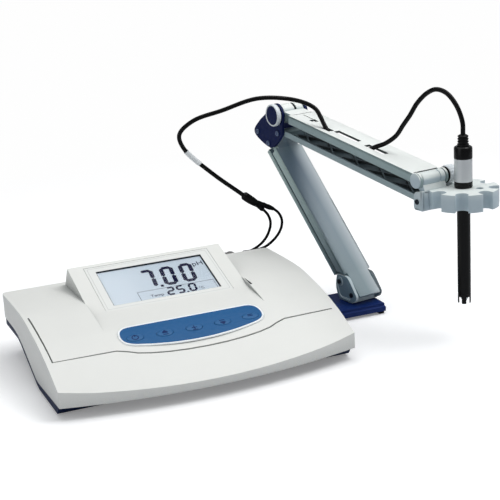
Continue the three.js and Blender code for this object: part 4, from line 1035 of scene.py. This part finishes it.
def upper_arm():
    bar = Bar(ELBOW_TOP, HEAD_TOP)
    top, web, flange, wide = 5.5, 2.4, -4, 23
    length = bar.length
    deck = bar.block(wide, length - 7.8, top - web, top, 0, ARM_WIDTH)
    slots = [bar.block(a, b, 0, 12, x - 3.4, x + 3.4) for a, b, x in CABLE_SLOTS]
    line = bar.block(28, 48, top - 0.7, top + 1, SLOT_X + 1.6, SLOT_X + 2.8)
    deck = cut(deck, *slots, line)
    parts = [
        soften(deck, 0.6),
        soften(bar.block(3, wide + 3, top - web, top, 3.6, ARM_WIDTH - 3.6), 0.5),
        soften(bar.block(wide, length, flange, top - 0.01, 0, 2.6), 0.5),
        soften(bar.block(wide, length, flange, top - 0.01, ARM_WIDTH - 2.6, ARM_WIDTH), 0.5),
        soften(bar.block(wide, wide + 2.4, flange, top - 0.02, 0.1, ARM_WIDTH - 0.1), 0.4),
        disc(HEAD_TOP, 7.6, 0, 2.6, 0.5),
        disc(HEAD_TOP, 7.6, ARM_WIDTH - 2.6, ARM_WIDTH, 0.5),
        lathe([
            (0, 3.6), (10, 3.6), (10.6, 4.2), (10.6, 18), (10.2, 18.4), (9.3, 18.4), (9.3, 21),
            (10.2, 21), (10.6, 21.4), (10.6, 29.8), (10, 30.4), (0, 30.4),
        ], about(ELBOW_TOP), 80),
    ]
    assemble(parts, 0, "upper_beam", "upper_arm", "arm_white", ARM_WHITE, "upper_arm_channel")
    ring = lathe([(9.32, 18.45), (9.9, 18.45), (9.9, 20.95), (9.32, 20.95)], about(ELBOW_TOP), 80)
    place_piece(ring, "barrel_ring", "upper_arm", "cable_black", RUBBER)


# ---- head ----

STAR_X, STAR_FORWARD = 40, 128.5
STAR_LOW, STAR_HIGH = 136, 153
SPLIT = 117.4
WALL_BACK, WALL_FRONT, HEAD_BOTTOM = 112.4, 115.2, 133.6


def star_outline():
    """A disc with a round-ended notch between each two fingers, as (across, forward)."""
    radius, notch, notch_at = 34, 6, 29.5
    half = math.degrees(math.asin(notch / radius))
    out = []
    for i in range(8):
        angle = -89.5 + 45 * i
        turn = Matrix.Rotation(math.radians(angle), 2)
        mouth = Vector((math.sqrt(radius**2 - notch**2), -notch))
        bite = [mouth, *arc((notch_at, 0), notch, 270, 90, 18)]
        out += [turn @ p for p in bite]
        out += arc((0, 0), radius, angle + half, angle + 45 - half, 7)[:-1]
    return [Vector((STAR_X + p.x, STAR_FORWARD - p.y)) for p in out]


def post(across, forward, radius, low, high):
    return slab(ellipse(across, forward, radius, radius), on_arm, low, high)


def holder():
    part = slab(star_outline(), on_arm, STAR_LOW, STAR_HIGH)
    part = cut(part, slab(oblong(-20, 100, 60, SPLIT + 0.3), on_arm, 100, 200),
               post(STAR_X, STAR_FORWARD, 6.8, 100, 200), post(48, 142.5, 3.6, 100, 200))
    part = shade(evaluated(soften(part, 0.9, segments=3)))
    place_piece(part, "star_holder", "head", "arm_grey", HEAD_PAINT, "electrode_holder")


def head_block():
    cheek = [
        (102.5, 135.4), (104.3, HEAD_BOTTOM), (WALL_FRONT, HEAD_BOTTOM), (WALL_FRONT, 153),
        (105.5, 151.5), (102.5, 148),
    ]
    neck = [(102, 161), (103.5, 156.8), (109, 151), (WALL_FRONT, 150), (WALL_FRONT, 153), (112.5, 160)]
    rear_star = slab(star_outline(), on_arm, STAR_LOW, STAR_HIGH)
    rear_star = cut(rear_star, slab(oblong(-20, 100, SPLIT, 200), on_arm, 100, 200),
                    slab(oblong(-20, ARM_WIDTH + 3.2, 60, 112.8), on_arm, 100, 200))
    parts = [
        soften(slab(rounded(cheek, 1.2), side_view, 0, 3.2), 0.5),
        soften(slab(rounded(cheek, 1.2), side_view, ARM_WIDTH - 3.2, ARM_WIDTH), 0.5),
        lathe([
            (0, 3.2), (6.8, 3.2), (7.2, 3.6), (7.2, 23.4), (6.9, 23.7), (6.2, 23.7), (6.2, 25.1),
            (6.9, 25.1), (7.2, 25.4), (7.2, 30.4), (6.8, 30.8), (0, 30.8),
        ], about(HEAD_TOP), 64),
        soften(slab(rounded(neck, 1), side_view, 3.2, ARM_WIDTH - 3.2), 0.4),
        soften(slab(oblong(0, ARM_WIDTH, WALL_BACK, WALL_FRONT), on_arm, HEAD_BOTTOM, 153), 0.4),
        soften(slab(oblong(0, ARM_WIDTH, 104.5, WALL_BACK + 0.5), on_arm, HEAD_BOTTOM, 136.6), 0.4),
        soften(rear_star, 0.8),
    ]
    assemble(parts, 0, "head_block", "head", "arm_grey", HEAD_PAINT, "head_bracket")
    bolt = merge(disc(HEAD_TOP, 3, -1, ARM_WIDTH + 7, segments=32), disc(HEAD_TOP, 7.4, -1.8, -0.3, 0.8))
    place_piece(shade(bolt), "head_clamp_bolt", "head", "pin_steel", HEAD_PAINT, "head_bolt")


def grip_outline(pivot, radius, ribs=18, depth=0.45):
    """A round grip with shallow ribs."""
    steps = ribs * 8
    out = []
    for k in range(steps):
        angle = 2 * math.pi * k / steps
        r = radius - depth * (0.5 + 0.5 * math.cos(ribs * angle)) ** 3
        out.append(pivot + Vector((r * math.cos(angle), r * math.sin(angle))))
    return out


def head_knob():
    rings = [(8.3, 2.2), (9, 2.9), (9, 10.6), (8.5, 11.2), (7.6, 11.5)]
    grip = layered([(grip_outline(HEAD_TOP, r), ARM_WIDTH + x) for r, x in rings], side_view)
    hub = disc(HEAD_TOP, 6, ARM_WIDTH + 0.3, ARM_WIDTH + 3)
    washer = disc(HEAD_TOP, 8, ARM_WIDTH + 0.4, ARM_WIDTH + 2, 0.3)
    place_piece(shade(washer), "head_clamp_washer", "head_clamp", "arm_white", RUBBER)
    place_piece(shade(merge(grip, hub), 40), "head_clamp_knob", "head_clamp", "arm_white", KNOB_WHITE,
                "head_knob")


# ---- electrode ----


def on_electrode(a, b, height):
    return on_arm(STAR_X + a, STAR_FORWARD + b, height)


def electrode_piece(part, name, material, *nodes, slot="electrode_black"):
    place_piece(part, name, "electrode", slot, material, *nodes)


def electrode():
    shaft = lathe([
        (0, 37), (5.5, 37), (6.1, 37.3), (6.4, 38.2), (6.4, 46.6), (6.15, 46.9), (6.15, 47.5),
        (6.4, 47.8), (6.4, 153.2), (0, 153.2),
    ], on_electrode, 64)
    hollow = lathe([(0, 36), (5, 36), (5, 56), (0, 56)], on_electrode, 48)
    wide, narrow = 10, 2.6
    for x, y in ((wide, narrow), (narrow, wide)):
        shaft = cut(shaft, slab(oblong(-x, x, -y, y), on_electrode, 36, 44))
    electrode_piece(shade(cut(shaft, hollow)), "electrode_body", GLOSS_BLACK, "electrode_shaft")
    bulb = lathe([
        (0, 39.5), (1.1, 39.6), (2.1, 40), (3, 40.8), (3.6, 41.9), (3.8, 43), (3.6, 44.1), (3.1, 45.1),
        (2.6, 45.8), (2.4, 46.6), (2.4, 55.7), (0, 55.7),
    ], on_electrode, 40)
    electrode_piece(shade(bulb, 50), "glass_bulb", BULB, "electrode_bulb", slot="bulb_glass")
    cap = lathe([
        (0, 153.4), (8, 153.4), (8.6, 153.8), (8.8, 154.6), (8.8, 158.4), (8.5, 158.8), (8.5, 181.6),
        (8.8, 182), (8.8, 190.8), (8.5, 192.2), (7.4, 193), (0, 193),
    ], on_electrode, 72)
    electrode_piece(shade(cap), "cap_body", GLOSS_BLACK, "electrode_cap")
    band = lathe([(8.52, 159.2), (8.62, 159.2), (8.62, 181.2), (8.52, 181.2)], on_electrode, 72)
    electrode_piece(shade(band), "label_band", LABEL_SILVER)
    rings = [(0, 193.1), (5.6, 193.1), (5.6, 195.2)]
    for k in range(3):
        low = 195.2 + 2.6 * k
        rings += [
            (5.4 - 0.1 * k, low + 0.1), (4.7 - 0.1 * k, low + 0.4), (4.7 - 0.1 * k, low + 1.3),
            (5.3 - 0.1 * k, low + 1.7), (5.3 - 0.1 * k, low + 2.5),
        ]
    rings += [(4.4, 203.4), (3, 204.25), (0, 204.25)]
    electrode_piece(shade(lathe(rings, on_electrode, 48)), "relief", BLACK_PLASTIC, "strain_relief")


# ---- cables ----

# The electrode's cable, in the arm's frame: over from the electrode, through the upper arm's slots, then up
# and out to the left of the elbow and down behind the meter.
CABLE_PATH = [
    (40, 128.5, 204.6), (39.4, 128.6, 216), (38, 122, 231), (35, 112, 242), (32, 101, 245), (30, 90, 240.8),
    (27.3, 78, 230), (25.2, 69, 217), (24, 60, 206.5), (22.6, 50, 194.5), (17.5, 39.5, 186.3), (13.3, 29, 181.9),
    (13.5, 20, 178), (13.5, 10, 175.6), (13.5, -4, 175.2), (13.5, -14, 176), (12.2, -24, 177.2),
    (10.6, -33, 179.2), (9.4, -39, 182.4), (8.9, -43.6, 186.8), (8.5, -47, 191.2), (8.2, -51, 196),
    (7.8, -55.5, 202.5), (6, -60.5, 210), (0.6, -67, 215.6), (-12.9, -82, 221.2), (-45, -95, 224.5),
    (-76, -115, 214), (-104, -128, 205.5), (-117, -136, 192), (-112, -138, 176), (-82, -134, 145),
    (-48.6, -125.2, 115.6),
]
SPAN = 8  # samples between two of its points
# Each length of it: first and last point, and the bodies it joins.
CABLE_LENGTHS = [
    ("cable_over_electrode", 0, 6, "electrode", "head"),
    ("cable_to_arm", 6, 10, "head", "upper_arm"),
    ("cable_in_arm", 10, 20, "upper_arm", None),
    ("cable_to_elbow", 20, 25, "upper_arm", "elbow"),
    ("cable_past_elbow", 25, 26, "elbow", "lower_arm"),
    ("cable_outward", 26, 28, "lower_arm", "swivel"),
    ("cable_down", 28, 32, "swivel", "meter"),
]
REPLACED = {"cable_over_electrode": "upper_cable", "cable_to_elbow": "loop_cable"}
CABLE_RADIUS = 2.3


def bend_or_ride(part, name, material, first, last, start, end):
    """Names a length of cable and gives it its material; with no second body it rides on the first, else its
    transform is baked into it where it lies.
    """
    name_piece(part, name, "cable_black", material)
    if last is None:
        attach(part, first)
    else:
        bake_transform(part)
        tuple(start)
        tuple(end)


def electrode_cable():
    points = [on_arm(*p) for p in CABLE_PATH]
    samples = spline(points, SPAN)
    for name, a, b, first, last in CABLE_LENGTHS:
        part = shade(tube(samples[max(a * SPAN - 1, 0) : b * SPAN + 2], CABLE_RADIUS * MM), 60)
        start, end = samples[a * SPAN + 2], samples[b * SPAN - 2]
        if first == "electrode":
            # The electrode slides straight up, so the end point is set level with the start.
            end = Vector((end.x, end.y, start.z))
        bend_or_ride(part, name, CABLE_BLACK, first, last, start, end)
        if name in REPLACED:
            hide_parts(REPLACED[name])
    # A short pale sleeve on the loop, where it turns down.
    sleeve = shade(tube(samples[30 * SPAN + 1 : 30 * SPAN + 6], 2.75 * MM, 24), 60)
    start, end = samples[28 * SPAN + 2], samples[32 * SPAN - 2]
    bend_or_ride(sleeve, "cable_sleeve", SLEEVE, "swivel", "meter", start, end)


SPLITTER = [(131.5, 128, 116.6), (133.5, 127.9, 115), (140.5, 127.5, 109.4), (148, 126.9, 103.6)]
BOOTS = [
    [(144, 127.1, 106.6), (148, 126.9, 103.2), (151.4, 126.7, 99.6), (154, 126.5, 96.4)],
    [(144, 127.1, 106.6), (150, 126.8, 104), (158, 126.4, 100.2), (166, 126, 96)],
]
ELECTRODE_LEAD = [
    (152, 126.6, 98.8), (157.3, 126.6, 93.2), (160.8, 127, 87.4), (162.6, 128, 79.5), (161, 131, 68.7),
    (157, 135, 59.5), (151, 144, 50), (138, 151, 43), (122, 151, 44), (113.5, 145, 48.5), (112, 136.5, 49),
]
PROBE_LEAD = [
    (165, 126, 96.6), (166.9, 126, 95.4), (172.1, 126.3, 90.4), (176, 127.3, 82), (175.6, 129, 72.6),
    (170.5, 132, 62), (158, 136, 51.5), (145, 139, 48.5), (133, 138.5, 49), (131, 132.5, 49),
]


def meter_tube(points, radii, sides=20):
    """A tube through points of the meter's frame whose radius goes through the given ones."""
    samples = spline([on_meter(*p) for p in points], 8)
    last = len(samples) - 1
    widths = []
    for i in range(last + 1):
        place = i / last * (len(radii) - 1)
        k = min(int(place), len(radii) - 2)
        widths.append((radii[k] + (radii[k + 1] - radii[k]) * (place - k)) * MM)
    return tube(samples, widths, sides)


def leads():
    boot = [2.6, 3, 3.2, 3.2, 2.8, 3.1, 2.7, 2.9, 2.5, 2]
    parts = [
        meter_tube(SPLITTER, [2.4, 3.2, 4.1, 4.6, 4.7, 4.7, 4.6, 4.4, 4, 3.2], 28),
        meter_tube(BOOTS[0], boot),
        meter_tube(BOOTS[1], boot),
        meter_tube(ELECTRODE_LEAD, [1.5, 1.5], 14),
    ]
    part = shade(merge(*parts), 60)
    place_piece(part, "lead_with_splitter", "meter", "cable_black", CABLE_BLACK, "electrode_lead")
    probe = shade(meter_tube(PROBE_LEAD, [1.5, 1.5], 14), 60)
    place_piece(probe, "second_lead", "meter", "cable_black", CABLE_BLACK, "probe_lead")


def plug(name, node, x, radius, length, ridge, material, slot):
    """A plug in the back of the meter: a collar with grooves, then a tapered tail."""
    start = 105.7
    place = lambda a, b, t: on_meter(x + a, start + t, 49 + b)
    profile = [(0, 0), (radius - 0.5, 0), (radius, 0.5)]
    for k in range(4):
        low = 3 + ridge * k
        groove = radius - 0.5
        profile += [(radius, low), (groove, low + 0.3), (groove, low + 0.9), (radius, low + 1.2)]
    profile += [
        (radius, length - 1), (radius - 1, length), (radius * 0.55, length + 0.5),
        (radius * 0.45, length + 7), (0, length + 7),
    ]
    place_piece(shade(lathe(profile, place, 48)), name, "meter", slot, material, node)


display_ink()
display_shadow_ring()
window_line()
keypad()
keys()
groove_line()
base_bracket()
lower_arm()
lower_link()
pins()
elbow_plates()
elbow_knob()
upper_arm()
holder()
head_block()
head_knob()
electrode()
electrode_cable()
leads()
plug("coaxial_plug", "bnc_plug", 112, 7, 23, 3.4, NICKEL, "nickel")
plug("round_plug", "probe_plug", 131, 5.5, 19, 2.6, BLACK_PLASTIC, "black_plastic")

# ---- stage, lights and camera ----


def pale_floor():
    """Pale paper that goes to plain white away from the object; it reflects less light than it shows."""
    shader = Shader("pale_floor")
    seen = shader.node("ShaderNodeLightPath").outputs["Is Camera Ray"]
    length = shader.node("ShaderNodeVectorMath", {0: shader.place()}, operation="LENGTH")
    away = shader.step(length.outputs["Value"], 0.35, 0.9)
    pale = shader.mixed(shader.noise(3, 2), srgb(246, 247, 248), srgb(249, 249, 250))
    pale = shader.mixed(away, pale, srgb(20, 20, 20))
    color = shader.mixed(seen, srgb(200, 202, 206), pale)
    shader.set(Base_Color=color, Roughness=0.95, Specular_IOR_Level=0)
    glow = shader.mapped(away, 0, 1, 0.2, 0.99)
    shader.set(Emission_Color=(1, 1, 1, 1), Emission_Strength=shader.times(seen, glow))
    return shader.material


def backdrop():
    """A pale floor that curves up into a wall, far behind the object."""
    profile = [(-4, 0), (3, 0), *arc((3, 2), 2, -90, 0, 15), (5, 6)]
    vertices = [Vector((x, y, z)) for x in (-8, 8) for y, z in profile]
    count = len(profile)
    faces = [(i, count + i, count + i + 1, i + 1) for i in range(count - 1)]
    floor = as_object(vertices, faces, outward=False)
    floor.name = "backdrop"
    floor.data.shade_smooth()
    floor.data.materials.append(pale_floor())


def area_light(name, position, target, size, power):
    light = bpy.data.lights.new(name, "AREA")
    light.shape = "RECTANGLE"
    light.size, light.size_y = size
    light.energy = power
    lamp = linked(name, light)
    lamp.location = position
    lamp.rotation_mode = "QUATERNION"
    lamp.rotation_quaternion = (Vector(target) - Vector(position)).to_track_quat("-Z", "Y")


def studio_world():
    """Soft light from all around, seen directly as plain white."""
    world = bpy.data.worlds.new("studio")
    bpy.context.scene.world = world
    world.use_nodes = True
    tree = world.node_tree
    background = tree.nodes["Background"]
    background.inputs["Color"].default_value = (0.96, 0.98, 1, 1)
    path = tree.nodes.new("ShaderNodeLightPath")
    strength = tree.nodes.new("ShaderNodeMapRange")
    strength.inputs["To Min"].default_value = 0.4
    strength.inputs["To Max"].default_value = 1.1
    tree.links.new(path.outputs["Is Camera Ray"], strength.inputs["Value"])
    tree.links.new(strength.outputs["Result"], background.inputs["Strength"])


def lights():
    area_light("key", (0.9, -0.5, 1.6), (0, 0, 0.05), (1.0, 1.0), 15)
    area_light("top", (0.1, 0.4, 1.8), (0, 0, 0), (1.6, 1.6), 12.5)
    area_light("fill", (-1.7, -0.5, 0.5), (0, 0, 0.05), (1.2, 1.2), 5)


def camera():
    azimuth, elevation, roll = -22.11, 16.30, -3.26
    turns = ((azimuth, "Z"), (90 - elevation, "X"), (roll, "Z"))
    about_z, about_x, about_view = (Matrix.Rotation(math.radians(angle), 4, axis) for angle, axis in turns)
    data = bpy.data.cameras.new("camera")
    data.sensor_width = 36
    data.lens = 93.6
    data.clip_end = 50
    made = linked("camera", data)
    place = Matrix.Translation(on_meter(-380.1, -1143.4, 454.5))
    made.matrix_world = place @ about_z @ about_x @ about_view
    bpy.context.scene.camera = made


backdrop()
studio_world()
lights()
camera()
bpy.context.scene.view_settings.view_transform = "Standard"
